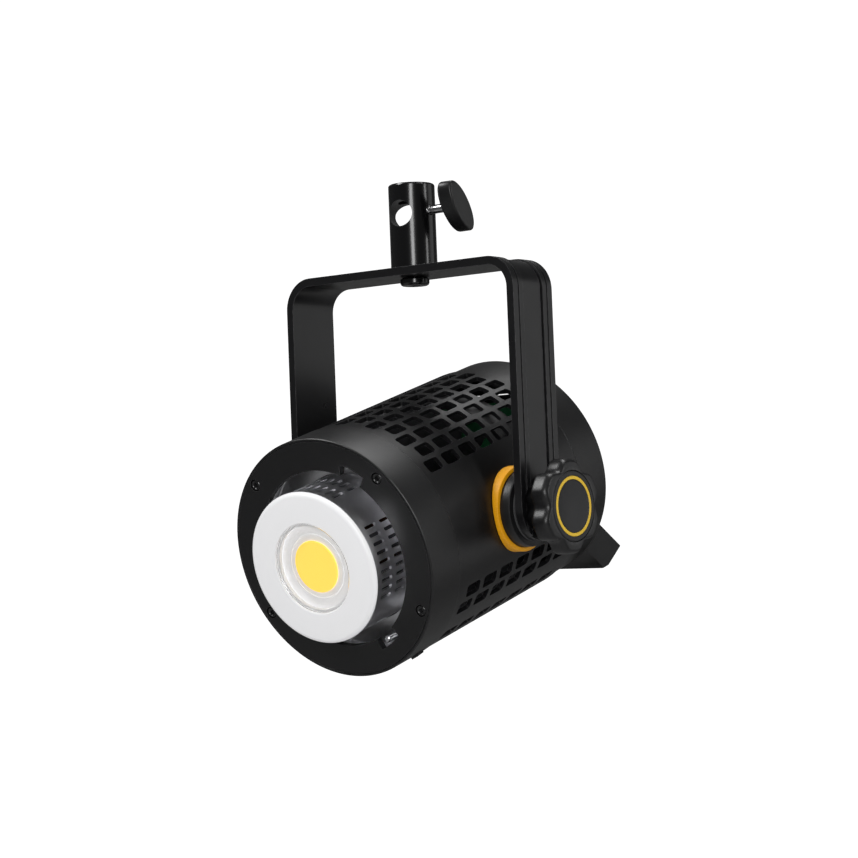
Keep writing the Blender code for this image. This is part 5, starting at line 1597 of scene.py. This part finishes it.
@dataclass(frozen=True)
class FrontPlate:
    """The flush plate with the notched mount opening, and its four socket screws.

    Attributes:
        face: Where the plate starts.
        thick: Its thickness.
        radius: Its radius.
        mouth: Radius of the mount opening.
        notch: Radius of its bayonet notches.
        notch_angles: Where the notches are.
        notch_turn: How far round a notch reaches.
        step: Angle between the plate's radial lines, which divides the notches evenly.
        screw_circle: Radius of the circle the screws stand on.
        screw_angles: Where they stand.
        screw_head: Radius of a screw's head.
        screw_depth: Height of its head.
        screw_shank: Radius of its shank.
        screw_length: Its length.
        key: Radius of its socket.
        key_depth: Depth of its socket.
        index_angle: Where the index mark is.
        index_half: Half the mark's width.
        index_depth: Its depth.
    """

    face: float = PLATE_FACE
    thick: float = PLATE_THICK
    radius: float = 68.2 * MM
    mouth: float = 51.5 * MM
    notch: float = 58.0 * MM
    notch_angles: tuple[float, ...] = NOTCH_ANGLES
    notch_turn: float = math.radians(16.0)
    step: float = math.radians(2.0)
    screw_circle: float = 63.5 * MM
    screw_angles: tuple[float, ...] = tuple(math.radians(a) for a in (45.0, 119.5, 240.5, 315.0))
    screw_head: float = 3.25 * MM
    screw_depth: float = 2.2 * MM
    screw_shank: float = 1.45 * MM
    screw_length: float = 7.0 * MM
    key: float = 1.5 * MM
    key_depth: float = 1.4 * MM
    index_angle: float = math.radians(21.0)
    index_half: float = 0.3 * MM
    index_depth: float = 0.35 * MM

    def in_notch(self, place: Vector) -> bool:
        """Tells whether a place lies over a bayonet notch."""
        angle = math.atan2(place.x, place.z)
        near = min(abs(math.remainder(angle - notch, math.tau)) for notch in self.notch_angles)
        return near < self.notch_turn / 2.0 and math.hypot(place.x, place.z) < self.notch

    def ring(self) -> bmesh.types.BMesh:
        """Spins the plate's ring and opens its notches.

        Returns:
            The closed plate, without its screw seats.
        """
        bm = bmesh.new()
        radii = (self.mouth, self.notch, self.radius)
        points = [bm.verts.new(polar(radius, 0.0, self.face)) for radius in radii]
        edges = [bm.edges.new(pair) for pair in zip(points, points[1:])]
        bmesh.ops.spin(
            bm, geom=points + edges, cent=(0.0, 0.0, 0.0), axis=(0.0, 1.0, 0.0), angle=math.tau,
            steps=round(math.tau / self.step), use_merge=True,
        )
        bmesh.ops.remove_doubles(bm, verts=bm.verts, dist=WELD * 10)
        cut = [f for f in bm.faces if self.in_notch(f.calc_center_median())]
        bmesh.ops.delete(bm, geom=cut, context="FACES")
        return thickened(bm, (0.0, self.thick, 0.0))

    def seats(self) -> list[bmesh.types.BMesh]:
        """Makes the cutters of the screw seats and of the index mark.

        Returns:
            The cutters.
        """
        head, shank = self.screw_head + GAP, self.screw_shank + GAP
        under = self.screw_depth + 2.0 * GAP
        through = 2.0 * self.thick
        outline = [(-MM, 0.0), (-MM, head), (under, head), (under, shank), (through, shank), (through, 0.0)]
        places = [polar(self.screw_circle, angle, self.face) for angle in self.screw_angles]
        found = [moved(turned(outline, steps=SCREW_STEPS), place) for place in places]
        low = (-self.index_half, self.face - MM, self.mouth + 0.8 * MM)
        mark = block(low, (self.index_half, self.face + self.index_depth, self.notch - 1.2 * MM))
        found.append(moved(mark, Matrix.Rotation(self.index_angle, 4, "Y")))
        return found

    def screw(self) -> bmesh.types.BMesh:
        """Turns one socket screw, its head's face at 0."""
        head, deep, shank, end = self.screw_head, self.screw_depth, self.screw_shank, self.screw_length
        outline = [(0.3 * MM, 0.0), (0.3 * MM, 1.9 * MM), (0.0, 2.2 * MM), (0.0, head - 0.5 * MM)]
        outline += [(0.5 * MM, head), (deep, head), (deep, shank), (end, shank), (end, 0.0)]
        return carved(turned(outline, steps=SCREW_STEPS), [rod(-MM, self.key_depth, self.key, steps=HEXAGON)])

    def build(self) -> None:
        """Builds the plate and its screws."""
        plate = carved(self.ring(), self.seats())
        make_piece("mount_plate", plate, HEAD, PLATE_PAINT, "front_plate", edge=0.2 * MM, segments=2)
        for number, angle in enumerate(self.screw_angles, 1):
            bm, node = moved(self.screw(), polar(self.screw_circle, angle, self.face + GAP)), f"plate_screw_{number}"
            make_piece(f"plate_bolt_{number}", bm, HEAD, GLOSS_PAINT, node, edge=0.1 * MM, segments=2)


# ---------------------------------------------------------------- lamp and mount


@dataclass(frozen=True)
class Lamp:
    """The slotted barrel with its white ring, glass, light-emitting disc and board.

    Attributes:
        face: Where the white ring starts.
        ring: The ring's radius.
        ring_thick: Its thickness at the rim.
        barrel: The barrel's radius.
        barrel_wall: Its wall.
        barrel_end: Where the barrel ends.
        glass: The glass's radius.
        glass_thick: Its thickness.
        emitter: Radius of the light-emitting disc.
        emitter_depth: How far the disc lies behind the ring's face.
        slot_width: Width of a cooling slot.
        slot_turn: Angle from one slot to the next.
        slots: Slots in a group.
        groups: Groups of slots round the barrel.
        slot_rows: (centre behind the face, length) of each row.
        slot_corner: Radius of a slot's ends.
        soft: Radius of the ring's soft front edge.
        lip: How far the ring reaches in under the glass.
        glass_sink: How far the glass lies behind the ring's face.
        board_thick: The board's thickness.
        dam: (inner, outer) distance of the board's low ring from the disc.
        dam_rise: Its height.
    """

    face: float = -105.3 * MM
    ring: float = 44.0 * MM
    ring_thick: float = 2.7 * MM
    barrel: float = BARREL_RADIUS
    barrel_wall: float = 1.5 * MM
    barrel_end: float = -60.0 * MM
    glass: float = 25.9 * MM
    glass_thick: float = 1.5 * MM
    emitter: float = 15.1 * MM
    emitter_depth: float = 4.45 * MM
    slot_width: float = 2.05 * MM
    slot_turn: float = math.radians(6.93)
    slots: int = 9
    groups: int = 4
    slot_rows: tuple[tuple[float, float], ...] = ((11.8 * MM, 9.3 * MM), (24.6 * MM, 8.4 * MM))
    slot_corner: float = 0.96 * MM
    soft: float = 2.5 * MM
    lip: float = 1.5 * MM
    glass_sink: float = 0.6 * MM
    board_thick: float = 1.6 * MM
    dam: tuple[float, float] = (3.1 * MM, 3.9 * MM)
    dam_rise: float = 0.35 * MM

    def build_barrel(self) -> None:
        """Builds the slotted barrel."""
        openings = []
        for group in range(self.groups):
            for i in range(self.slots):
                angle = group * math.tau / self.groups + (i - (self.slots - 1) / 2.0) * self.slot_turn
                for middle, length in self.slot_rows:
                    low = self.face + middle - length / 2.0
                    openings.append(Opening(angle, self.slot_width / self.barrel, low, low + length))
        start, seam, finest = self.face + self.ring_thick + GAP, math.radians(45.0), math.radians(3.0)
        skin = PerforatedSkin(
            self.barrel, start, self.barrel_end, tuple(openings), self.slot_corner, seam, finest
        )
        wall, edge = self.barrel_wall, 0.12 * MM
        make_piece(
            "lamp_barrel", skin.build(), HEAD, TURNED_ALUMINIUM, "led_barrel", edge=edge, segments=2, wall=wall
        )

    def build_ring(self) -> None:
        """Builds the white front ring with its soft round edge."""
        lip_out = self.barrel - self.barrel_wall - GAP
        lip_in = self.glass - self.lip
        glass_back = self.face + self.glass_sink + self.glass_thick
        back = self.face + self.ring_thick
        inside, soft = back + 1.8 * MM, self.soft
        front, rim = self.face + soft, self.ring - soft
        outline = [(self.face + 0.25 * MM, self.glass + GAP), (self.face, self.glass + 0.7 * MM)]
        outline += [(front - soft * math.cos(t), rim + soft * math.sin(t)) for t in quarter(10)]
        outline += [(back, self.ring), (back, lip_out), (inside, lip_out), (inside, lip_in)]
        outline += [(glass_back + GAP, lip_in), (glass_back + GAP, self.glass + GAP)]
        # The ring's finish glows as painted light, to brighten it.
        make_piece("lamp_ring", turned(outline, steps=160), HEAD, WHITE_ENAMEL_PAINTED_GLOW, "led_front_ring")

    def build_glass(self) -> None:
        """Builds the clear window."""
        front = self.face + self.glass_sink
        back = front + self.glass_thick
        ease = 0.25 * MM
        outline = [(front, 0.0), (front, self.glass - ease), (front + ease, self.glass), (back, self.glass)]
        outline += [(back, 0.0)]
        make_piece("lamp_window", turned(outline), HEAD, LAMP_GLASS, "front_glass")

    def build_emitter(self) -> None:
        """Builds the light-emitting disc with its low dam, and the white board that carries it."""
        front = self.face + self.emitter_depth
        board = front + 1.0 * MM
        outline = [(front, 0.0), (front, self.emitter - 0.5 * MM), (front + 0.4 * MM, self.emitter)]
        outline += [(board - GAP, self.emitter), (board - GAP, 0.0)]
        make_piece("emitter_disc", turned(outline), HEAD, PHOSPHOR, "cob_emitter")
        edge = self.barrel - self.barrel_wall - GAP - 2.0 * MM
        back, crest, slope = board + self.board_thick, board - self.dam_rise, 0.1 * MM
        low, high = (self.emitter + far for far in self.dam)
        outline = [(board, 0.0), (board, low), (crest, low + slope), (crest, high - slope), (board, high)]
        outline += [(board, edge), (back, edge), (back, 0.0)]
        # The board's finish glows as painted light, to brighten it behind the glass.
        make_piece("emitter_board", turned(outline), HEAD, BOARD_WHITE_PAINTED_GLOW, "cob_board")

    def build(self) -> None:
        """Builds the lamp."""
        self.build_barrel()
        self.build_ring()
        self.build_glass()
        self.build_emitter()


@dataclass(frozen=True)
class Mount:
    """The polished cup behind the plate, its leaf springs, and the sprung lock pin with its slider.

    Attributes:
        front: Where the cup starts.
        back: Where it ends.
        outer: Its outer radius.
        wall: Its wall.
        barrel: Radius of the barrel that passes through it.
        notch_angles: Where the plate's notches are.
        pin_circle: Radius of the circle the lock pin stands on.
        pin_angle: Where it stands.
        pin: Its radius.
        pin_start: Where it starts.
        shell: Outer radius of the bezel that the slider passes through.
        setback: How far the slider lies behind the cup's front.
        slider: The slider's (width, length).
        proud: How far it stands out of the bezel.
        grooves: Where the grooves across it start.
        groove: Width and depth of a groove.
        spring_lead: From a spring's start to its notch.
        spring_turn: How far round a spring reaches.
        spring_width: Its width.
        spring_setback: How far its middle lies behind the cup's front.
        spring_bow: How far it bows in.
        spring_wall: Its thickness.
    """

    front: float = -82.8 * MM
    back: float = -64.0 * MM
    outer: float = 60.0 * MM
    wall: float = 1.7 * MM
    barrel: float = BARREL_RADIUS
    notch_angles: tuple[float, ...] = NOTCH_ANGLES
    pin_circle: float = 54.6 * MM
    pin_angle: float = LOCK_ANGLE
    pin: float = 1.9 * MM
    pin_start: float = -85.9 * MM
    shell: float = BEZEL_RADIUS
    setback: float = 8.2 * MM
    slider: tuple[float, float] = (6.0 * MM, 5.0 * MM)
    proud: float = 1.2 * MM
    grooves: tuple[float, ...] = (1.0 * MM, 2.25 * MM, 3.5 * MM)
    groove: float = 0.5 * MM
    spring_lead: float = math.radians(31.0)
    spring_turn: float = math.radians(22.0)
    spring_width: float = 7.0 * MM
    spring_setback: float = 6.5 * MM
    spring_bow: float = 2.2 * MM
    spring_wall: float = 0.6 * MM

    def build_cup(self) -> None:
        """Builds the cup."""
        inner = self.outer - self.wall
        floor = self.back - 2.0 * MM
        hole = self.barrel + 2.0 * GAP
        cove = 1.5 * MM
        outline = [(self.front, inner), (self.front, self.outer), (self.back, self.outer), (self.back, hole)]
        outline += [(floor, hole)]
        outline += [(floor - cove + cove * math.cos(t), inner - cove + cove * math.sin(t)) for t in quarter(5)]
        pin = rod(floor - MM, self.back + MM, self.pin + GAP, steps=ROD_STEPS)
        bm = carved(turned(outline, steps=160), [moved(pin, polar(self.pin_circle, self.pin_angle))])
        make_piece("mount_cup", bm, HEAD, TURNED_ALUMINIUM, "mount_ring", edge=0.15 * MM, segments=2)

    def build_spring(self, number: int, notch: float) -> None:
        """Builds one leaf spring, bowed in from the cup's wall.

        Args:
            number: Its number.
            notch: The angle of the notch it presses into.
        """
        inner = self.outer - self.wall - GAP
        start = notch - self.spring_lead
        reach = self.spring_turn
        bm = bmesh.new()
        size = Matrix.Diagonal((reach, self.spring_width, 1.0, 1.0))
        middle = Matrix.Translation((start + reach / 2.0, self.front + self.spring_setback, 0.0))
        bmesh.ops.create_grid(bm, x_segments=24, y_segments=2, size=0.5, matrix=middle @ size)
        for vert in bm.verts:
            share = (vert.co.x - start) / reach
            rise = self.spring_bow * math.sin(math.pi * share) + 0.2 * MM
            vert.co = polar(inner - rise, vert.co.x, vert.co.y)
        bmesh.ops.recalc_face_normals(bm, faces=bm.faces)
        name, node, wall = f"leaf_spring_{number}", f"mount_spring_{number}", self.spring_wall
        make_piece(name, faced_out(bm), HEAD, BRIGHT_STEEL, node, edge=0.1 * MM, segments=2, wall=wall)

    def build_lock(self) -> None:
        """Builds the lock pin."""
        end = self.back + 1.2 * MM
        ease = 0.7 * MM
        outline = [(self.pin_start, 0.0), (self.pin_start, self.pin - ease), (self.pin_start + ease, self.pin)]
        outline += [(end, self.pin), (end, 0.0)]
        bm = moved(turned(outline, steps=SCREW_STEPS), polar(self.pin_circle, self.pin_angle))
        make_piece("lock_plunger", bm, HEAD, BRIGHT_STEEL, "lock_pin", edge=0.1 * MM)

    def build_slider(self) -> None:
        """Builds the ribbed thumb slider, with its arm that holds the pin."""
        width, length = self.slider[0] / 2.0, self.slider[1]
        neck = self.front + self.setback
        shelf = self.outer + 2.0 * GAP
        outside = self.shell + self.proud
        head = block((-width, neck, -outside), (width, neck + length, -shelf))
        grooves = []
        for place in self.grooves:
            low = (-width - MM, neck + place, -outside - MM)
            grooves.append(block(low, (width + MM, neck + place + self.groove, -outside + self.groove)))
        arm, thick = self.back + 1.5 * MM, 2.0 * MM
        rail = block((-width, neck, -shelf - thick), (width, arm + thick, -shelf + 0.01 * MM))
        finger = block((-width, arm, -shelf - 1.0 * MM), (width, arm + thick, -self.pin_circle + 2.5 * MM))
        shape = carved(merged(merged(head, rail), finger), grooves)
        bm = moved(shape, Matrix.Rotation(self.pin_angle - math.pi, 4, "Y"))
        make_piece("thumb_slider", bm, HEAD, BLACK_PLASTIC, "release_slider", edge=0.2 * MM, segments=2)

    def build(self) -> None:
        """Builds the mount."""
        self.build_cup()
        for number, notch in enumerate(self.notch_angles, 1):
            self.build_spring(number, notch)
        self.build_lock()
        self.build_slider()


# ---------------------------------------------------------------- rear panel and controls


@dataclass(frozen=True)
class RearPanel:
    """The panel inside the rear cap with its display, dials, buttons, rocker and mains inlet.

    Attributes:
        front: Where the panel starts.
        rear: Where it ends.
        radius: Its radius.
        room: Clearance round a control.
        display: (width, height) of the display.
        display_place: Its centre.
        dial: A dial's radius.
        dial_proud: How far a dial stands out.
        dial_shaft: Radius of its shaft.
        dial_places: Where the dials are, by name.
        button: A button's radius.
        button_proud: How far a button stands out.
        button_places: Where the buttons are.
        rocker: (width, height) of the power rocker.
        rocker_place: Its centre.
        rocker_swing: How far it is tipped to its off side.
        inlet: (width, height) of the mains inlet.
        inlet_place: Its centre.
        socket: (width, height) of its socket.
        socket_depth: The socket's depth.
    """

    front: float = 88.5 * MM
    rear: float = 91.5 * MM
    radius: float = 64.6 * MM
    room: float = 0.95 * MM
    display: tuple[float, float] = (50.0 * MM, 26.0 * MM)
    display_place: tuple[float, float] = (0.0, 34.0 * MM)
    dial: float = 10.0 * MM
    dial_proud: float = 11.0 * MM
    dial_shaft: float = 3.0 * MM
    dial_places: tuple[tuple[str, float, float], ...] = (
        ("brightness_dial", -31.0 * MM, -6.0 * MM), ("mode_dial", 31.0 * MM, -6.0 * MM)
    )
    button: float = 4.0 * MM
    button_proud: float = 2.0 * MM
    button_places: tuple[tuple[float, float], ...] = (
        (-17.0 * MM, 11.0 * MM), (0.0, 11.0 * MM), (17.0 * MM, 11.0 * MM)
    )
    rocker: tuple[float, float] = (12.0 * MM, 18.0 * MM)
    rocker_place: tuple[float, float] = (0.0, -10.0 * MM)
    rocker_swing: float = math.radians(8.0)
    inlet: tuple[float, float] = (30.0 * MM, 22.0 * MM)
    inlet_place: tuple[float, float] = (0.0, -48.0 * MM)
    socket: tuple[float, float] = (24.0 * MM, 16.5 * MM)
    socket_depth: float = 15.0 * MM

    def window(self, size: tuple[float, float], place: tuple[float, float]) -> bmesh.types.BMesh:
        """Makes the cutter of a rectangular opening."""
        half_x, half_z = size[0] / 2.0 + self.room, size[1] / 2.0 + self.room
        low = (place[0] - half_x, self.front - MM, place[1] - half_z)
        return block(low, (place[0] + half_x, self.rear + MM, place[1] + half_z))

    def build_plate(self) -> None:
        """Builds the panel with an opening for each control."""
        cutters = [
            self.window(self.display, self.display_place),
            self.window(self.rocker, self.rocker_place),
            self.window(self.inlet, self.inlet_place),
        ]
        holes = [(x, z, self.dial_shaft) for _, x, z in self.dial_places]
        holes += [(x, z, self.button) for x, z in self.button_places]
        for x, z, radius in holes:
            cutters.append(moved(rod(self.front - MM, self.rear + MM, radius + 0.4 * MM), (x, 0.0, z)))
        bm = carved(rod(self.front, self.rear, self.radius, steps=ROUND_STEPS), cutters)
        make_piece("control_panel", bm, HEAD, BLACK_PLASTIC, "rear_panel", edge=0.25 * MM, segments=2)

    def build_scales(self) -> None:
        """Prints a plain scale of ticks round each dial, as thin raised ink."""
        for name, x, z in self.dial_places:
            ticks = []
            for i in range(11):
                angle, half, ink = math.radians(-135.0 + 27.0 * i), 0.3 * MM, self.rear + 0.07 * MM
                high = 15.2 * MM if i % 5 == 0 else 14.0 * MM
                mark = block((-half, self.rear + 0.01 * MM, 12.2 * MM), (half, ink, high))
                ticks.append(moved(moved(mark, Matrix.Rotation(angle, 4, "Y")), (x, 0.0, z)))
            make_piece(f"{name}_scale", joined(ticks), HEAD, PRINTED_WHITE, "rear_panel", shown_for=False)

    def build_display(self) -> None:
        """Builds the dark display window."""
        half_x, half_z = self.display[0] / 2.0, self.display[1] / 2.0
        x, z = self.display_place
        bm = block((x - half_x, self.front, z - half_z), (x + half_x, self.rear, z + half_z))
        make_piece("display_screen", bm, HEAD, DISPLAY_GLASS, "display_window", edge=0.8 * MM, segments=4)

    def build_dials(self) -> None:
        """Builds the two ribbed dials, each with an index line."""
        base = self.rear + 2.0 * GAP
        top = base + self.dial_proud
        for name, x, z in self.dial_places:
            bm = bmesh.new()
            bmesh.ops.create_circle(bm, cap_ends=True, segments=144, radius=self.dial)
            for number, vert in enumerate(bm.verts):
                if number % 4 < 2:
                    vert.co *= 1.0 - 0.45 * MM / self.dial
            skirt = staged(bm, rounded_stages(self.dial_proud, 1.2 * MM, self.dial))
            upright = Matrix.Rotation(-math.pi / 2.0, 4, "X")
            skirt = moved(skirt, Matrix.Translation((0.0, base, 0.0)) @ upright)
            shaft = rod(self.front - 2.0 * MM, base + MM, self.dial_shaft, steps=ROD_STEPS)
            half = 0.4 * MM
            line = block((-half, top - 0.5 * MM, 3.5 * MM), (half, top + MM, self.dial + MM))
            bm = moved(carved(merged(skirt, shaft), [line]), (x, 0.0, z))
            make_piece(f"{name}_knob", bm, HEAD, BLACK_PLASTIC, name, edge=0.12 * MM, segments=2)

    def build_buttons(self) -> None:
        """Builds the three domed buttons."""
        top = self.rear + self.button_proud
        ease = 0.9 * MM
        start, side = top - ease, self.button - ease
        for number, (x, z) in enumerate(self.button_places, 1):
            outline = [(self.front, 0.0), (self.front, self.button)]
            outline += [(start + ease * math.sin(t), side + ease * math.cos(t)) for t in quarter(6)]
            outline += [(top - 0.25 * MM, self.button * 0.45), (top - 0.35 * MM, 0.0)]
            bm = moved(turned(outline, steps=SMALL_STEPS), (x, 0.0, z))
            make_piece(f"button_cap_{number}", bm, HEAD, BLACK_PLASTIC, f"button_{number}")

    def build_rocker(self) -> None:
        """Builds the power rocker with its plain on and off marks cut in."""
        half_x, half_z = self.rocker[0] / 2.0, self.rocker[1] / 2.0
        crown, base = 3.1 * MM, -3.0 * MM
        bm = bmesh.new()
        side = [(base, -half_z), (crown, -half_z), (crown - 0.8 * MM, 0.0), (crown, half_z), (base, half_z)]
        bm.faces.new([bm.verts.new((-half_x, y, z)) for y, z in side])
        cap = thickened(bm, (2.0 * half_x, 0.0, 0.0))
        low, high, half = crown - 0.6 * MM, crown + MM, 0.35 * MM
        bar = block((-half, low, 3.6 * MM), (half, high, 6.6 * MM))
        inner, outer = 1.1 * MM, 1.7 * MM
        ring = turned([(low, inner), (low, outer), (high, outer), (high, inner)], steps=ROD_STEPS)
        bm = carved(cap, [bar, moved(ring, (0.0, 0.0, -5.0 * MM))])
        middle = (self.rocker_place[0], (self.front + self.rear) / 2.0, self.rocker_place[1])
        swing = Matrix.Translation(middle) @ Matrix.Rotation(-self.rocker_swing, 4, "X")
        make_piece("rocker_cap", moved(bm, swing), HEAD, BLACK_PLASTIC, "power_rocker", edge=0.3 * MM, segments=3)

    def build_inlet(self) -> None:
        """Builds the mains inlet with its socket, and its three flat pins."""
        half_x, half_z = self.inlet[0] / 2.0, self.inlet[1] / 2.0
        face = self.rear + MM
        x, z = self.inlet_place
        body = block((-half_x, self.rear - 18.0 * MM, -half_z), (half_x, face, half_z))
        wide, tall = self.socket[0] / 2.0, self.socket[1] / 2.0
        cavity = block((-wide, face - self.socket_depth, -tall), (wide, face + 2.0 * MM, tall))
        uppers = []
        for edge in cavity.edges:
            first, second = (vert.co for vert in edge.verts)
            if first.z > 0.0 and second.z > 0.0 and abs(first.y - second.y) > MM:
                uppers.append(edge)
        bmesh.ops.bevel(
            cavity, geom=uppers, offset=5.0 * MM, offset_type="OFFSET", affect="EDGES", segments=1, profile=0.5,
            material=-1,
        )
        bm = moved(carved(body, [cavity]), (x, 0.0, z))
        make_piece("inlet_shroud", bm, HEAD, BLACK_PLASTIC, "mains_inlet", edge=0.35 * MM, segments=3)
        back = face - self.socket_depth
        pins = []
        for px, pz in ((-7.0 * MM, -2.0 * MM), (0.0, 2.5 * MM), (7.0 * MM, -2.0 * MM)):
            low = (x + px - 1.0 * MM, back - MM, z + pz - 2.0 * MM)
            pins.append(block(low, (x + px + 1.0 * MM, back + 10.0 * MM, z + pz + 2.0 * MM)))
        make_piece(
            "inlet_pins", joined(pins), HEAD, BRIGHT_STEEL, "mains_inlet", edge=0.4 * MM, segments=2, shown_for=False
        )

    def build(self) -> None:
        """Builds the panel and its controls."""
        self.build_plate()
        self.build_scales()
        self.build_display()
        self.build_dials()
        self.build_buttons()
        self.build_rocker()
        self.build_inlet()


@dataclass(frozen=True)
class Inside:
    """What shows faintly through the vents, left as the CAD shapes and dressed.

    Attributes:
        finishes: (node, finish) of each.
    """

    finishes: tuple[tuple[str, Finish], ...] = (
        ("heat_spreader", TURNED_ALUMINIUM), ("heatsink", DARK_ALUMINIUM), ("heat_pipe_1", BARE_COPPER),
        ("heat_pipe_2", BARE_COPPER), ("heat_pipe_3", BARE_COPPER), ("heat_pipe_4", BARE_COPPER),
        ("fan_frame", BLACK_PLASTIC), ("fan_rotor", BLACK_PLASTIC), ("driver_board", BOARD_LACQUER),
        ("transformer", COIL_VARNISH), ("capacitor", BLACK_PLASTIC), ("control_board", BOARD_LACQUER),
    )

    def build(self) -> None:
        """Dresses the inner nodes."""
        for node, finish in self.finishes:
            dress_node(node, finish)


# ---------------------------------------------------------------- studio


@dataclass(frozen=True)
class Studio:
    """The seamless backdrop, the soft lights and the camera.

    Attributes:
        azimuth: The camera's angle round the light.
        elevation: Its angle above the horizon.
        roll: How far it is rolled.
        distance: From the point it looks at.
        aim: That point from the pivot, to the camera's right and up, before the roll.
        lens: Its focal length in millimetres.
        drop: How far the floor lies below the pivot.
        ambient: Strength of the light from all round.
    """

    azimuth: float = math.radians(38.58)
    elevation: float = math.radians(-2.35)
    roll: float = math.radians(-2.22)
    distance: float = 1.3957
    aim: tuple[float, float] = (0.00492, 0.04899)
    lens: float = 99.6
    drop: float = 0.9
    ambient: float = 0.09

    def add_camera(self) -> None:
        """Adds the camera and makes it the scene's."""
        level = math.cos(self.elevation)
        back = Vector((
            math.sin(self.azimuth) * level, -math.cos(self.azimuth) * level, math.sin(self.elevation)
        ))
        right = Vector((math.cos(self.azimuth), math.sin(self.azimuth), 0.0))
        up = back.cross(right)
        rolled_right = math.cos(self.roll) * right + math.sin(self.roll) * up
        rolled_up = math.cos(self.roll) * up - math.sin(self.roll) * right
        data = bpy.data.cameras.new("camera")
        data.lens = self.lens
        data.sensor_width = 36.0
        data.clip_start, data.clip_end = 0.01, 100.0
        camera = placed("camera", data)
        place = PIVOT + right * self.aim[0] + up * self.aim[1] + back * self.distance
        turn = Matrix((rolled_right, rolled_up, back)).transposed()
        camera.matrix_world = Matrix.Translation(place) @ turn.to_4x4()
        bpy.context.scene.camera = camera

    def add_backdrop(self) -> None:
        """Adds a pale floor that sweeps up into a backdrop behind the light."""
        bm = bmesh.new()
        sweep, wall, near, half = 1.2, 4.5, 6.0, 7.0
        floor = PIVOT.z - self.drop
        line, start, rise = [(-near, floor)], wall - sweep, floor + sweep
        line += [(start + sweep * math.sin(t), rise - sweep * math.cos(t)) for t in quarter(16)]
        line += [(wall, floor + 6.0)]
        points = [bm.verts.new((-half, y, z)) for y, z in line]
        edges = [bm.edges.new(pair) for pair in zip(points, points[1:])]
        grown = bmesh.ops.extrude_edge_only(bm, edges=edges)
        far = [item for item in grown["geom"] if isinstance(item, bmesh.types.BMVert)]
        bmesh.ops.translate(bm, verts=far, vec=(2.0 * half, 0.0, 0.0))
        bmesh.ops.recalc_face_normals(bm, faces=bm.faces)
        moved(bm, Matrix.Rotation(self.azimuth, 4, "Z"))
        mesh = mesh_of("backdrop", bm)
        mesh.shade_smooth()
        backdrop = placed("backdrop", mesh)
        material = bpy.data.materials.new("pale_paper")
        material.use_nodes = True
        wiring = Wiring(material.node_tree)
        shader = material.node_tree.nodes["Principled BSDF"]
        shader.inputs["Base Color"].default_value = (0.5, 0.5, 0.5, 1.0)
        shader.inputs["Roughness"].default_value = 0.9
        shader.inputs["Emission Color"].default_value = (1.0, 1.0, 1.0, 1.0)
        seen = wiring.add("ShaderNodeLightPath").outputs["Is Camera Ray"]
        wiring.tree.links.new(seen, shader.inputs["Emission Strength"])
        mesh.materials.append(material)

    def add_softbox(self, name: str, place: Vector, size: tuple[float, float], power: float) -> None:
        """Adds a soft rectangular light that faces the pivot.

        Args:
            name: Its name.
            place: Where it stands from the pivot.
            size: Its width and height.
            power: Its power in watts.
        """
        data = bpy.data.lights.new(name, "AREA")
        data.shape = "RECTANGLE"
        data.size, data.size_y = size
        data.energy = power
        light = placed(name, data)
        turn = place.to_track_quat("Z", "Y").to_matrix().to_4x4()
        light.matrix_world = Matrix.Translation(PIVOT + place) @ turn
        light.visible_camera = False

    def add_lights(self) -> None:
        """Adds the studio's soft lights and its even surround."""
        world = bpy.data.worlds.new("surround")
        world.use_nodes = True
        surround = world.node_tree.nodes["Background"]
        surround.inputs["Color"].default_value = (1.0, 1.0, 1.0, 1.0)
        surround.inputs["Strength"].default_value = self.ambient
        bpy.context.scene.world = world
        self.add_softbox("key", Vector((-0.9, -1.0, 1.5)), (0.7, 0.7), 22.0)
        self.add_softbox("top", Vector((0.2, 0.5, 1.7)), (1.4, 0.6), 16.0)
        self.add_softbox("rim", Vector((1.7, 0.6, 0.35)), (0.25, 1.4), 5.5)
        self.add_softbox("front", Vector((1.05, -1.45, 0.25)), (0.42, 1.3), 16.0)
        self.add_softbox("side", Vector((1.15, 1.45, 0.1)), (0.9, 1.3), 2.0)

    def build(self) -> None:
        """Sets up the studio."""
        bpy.context.scene.view_settings.view_transform = "Standard"
        self.add_camera()
        self.add_backdrop()
        self.add_lights()


def main() -> None:
    """Builds the whole light round the frame, and the studio."""
    logging.basicConfig(level=logging.INFO, format="%(name)s: %(message)s", stream=sys.stdout)
    for assembly in (
        Yoke(), Receiver(), Clamp(), TiltKnob(), Pivots(), Shells(), FrontPlate(), Lamp(), Mount(), RearPanel(),
        Inside(), Studio(),
    ):
        log.info("building %s", type(assembly).__name__)
        assembly.build()


if __name__ == "__main__":
    main()
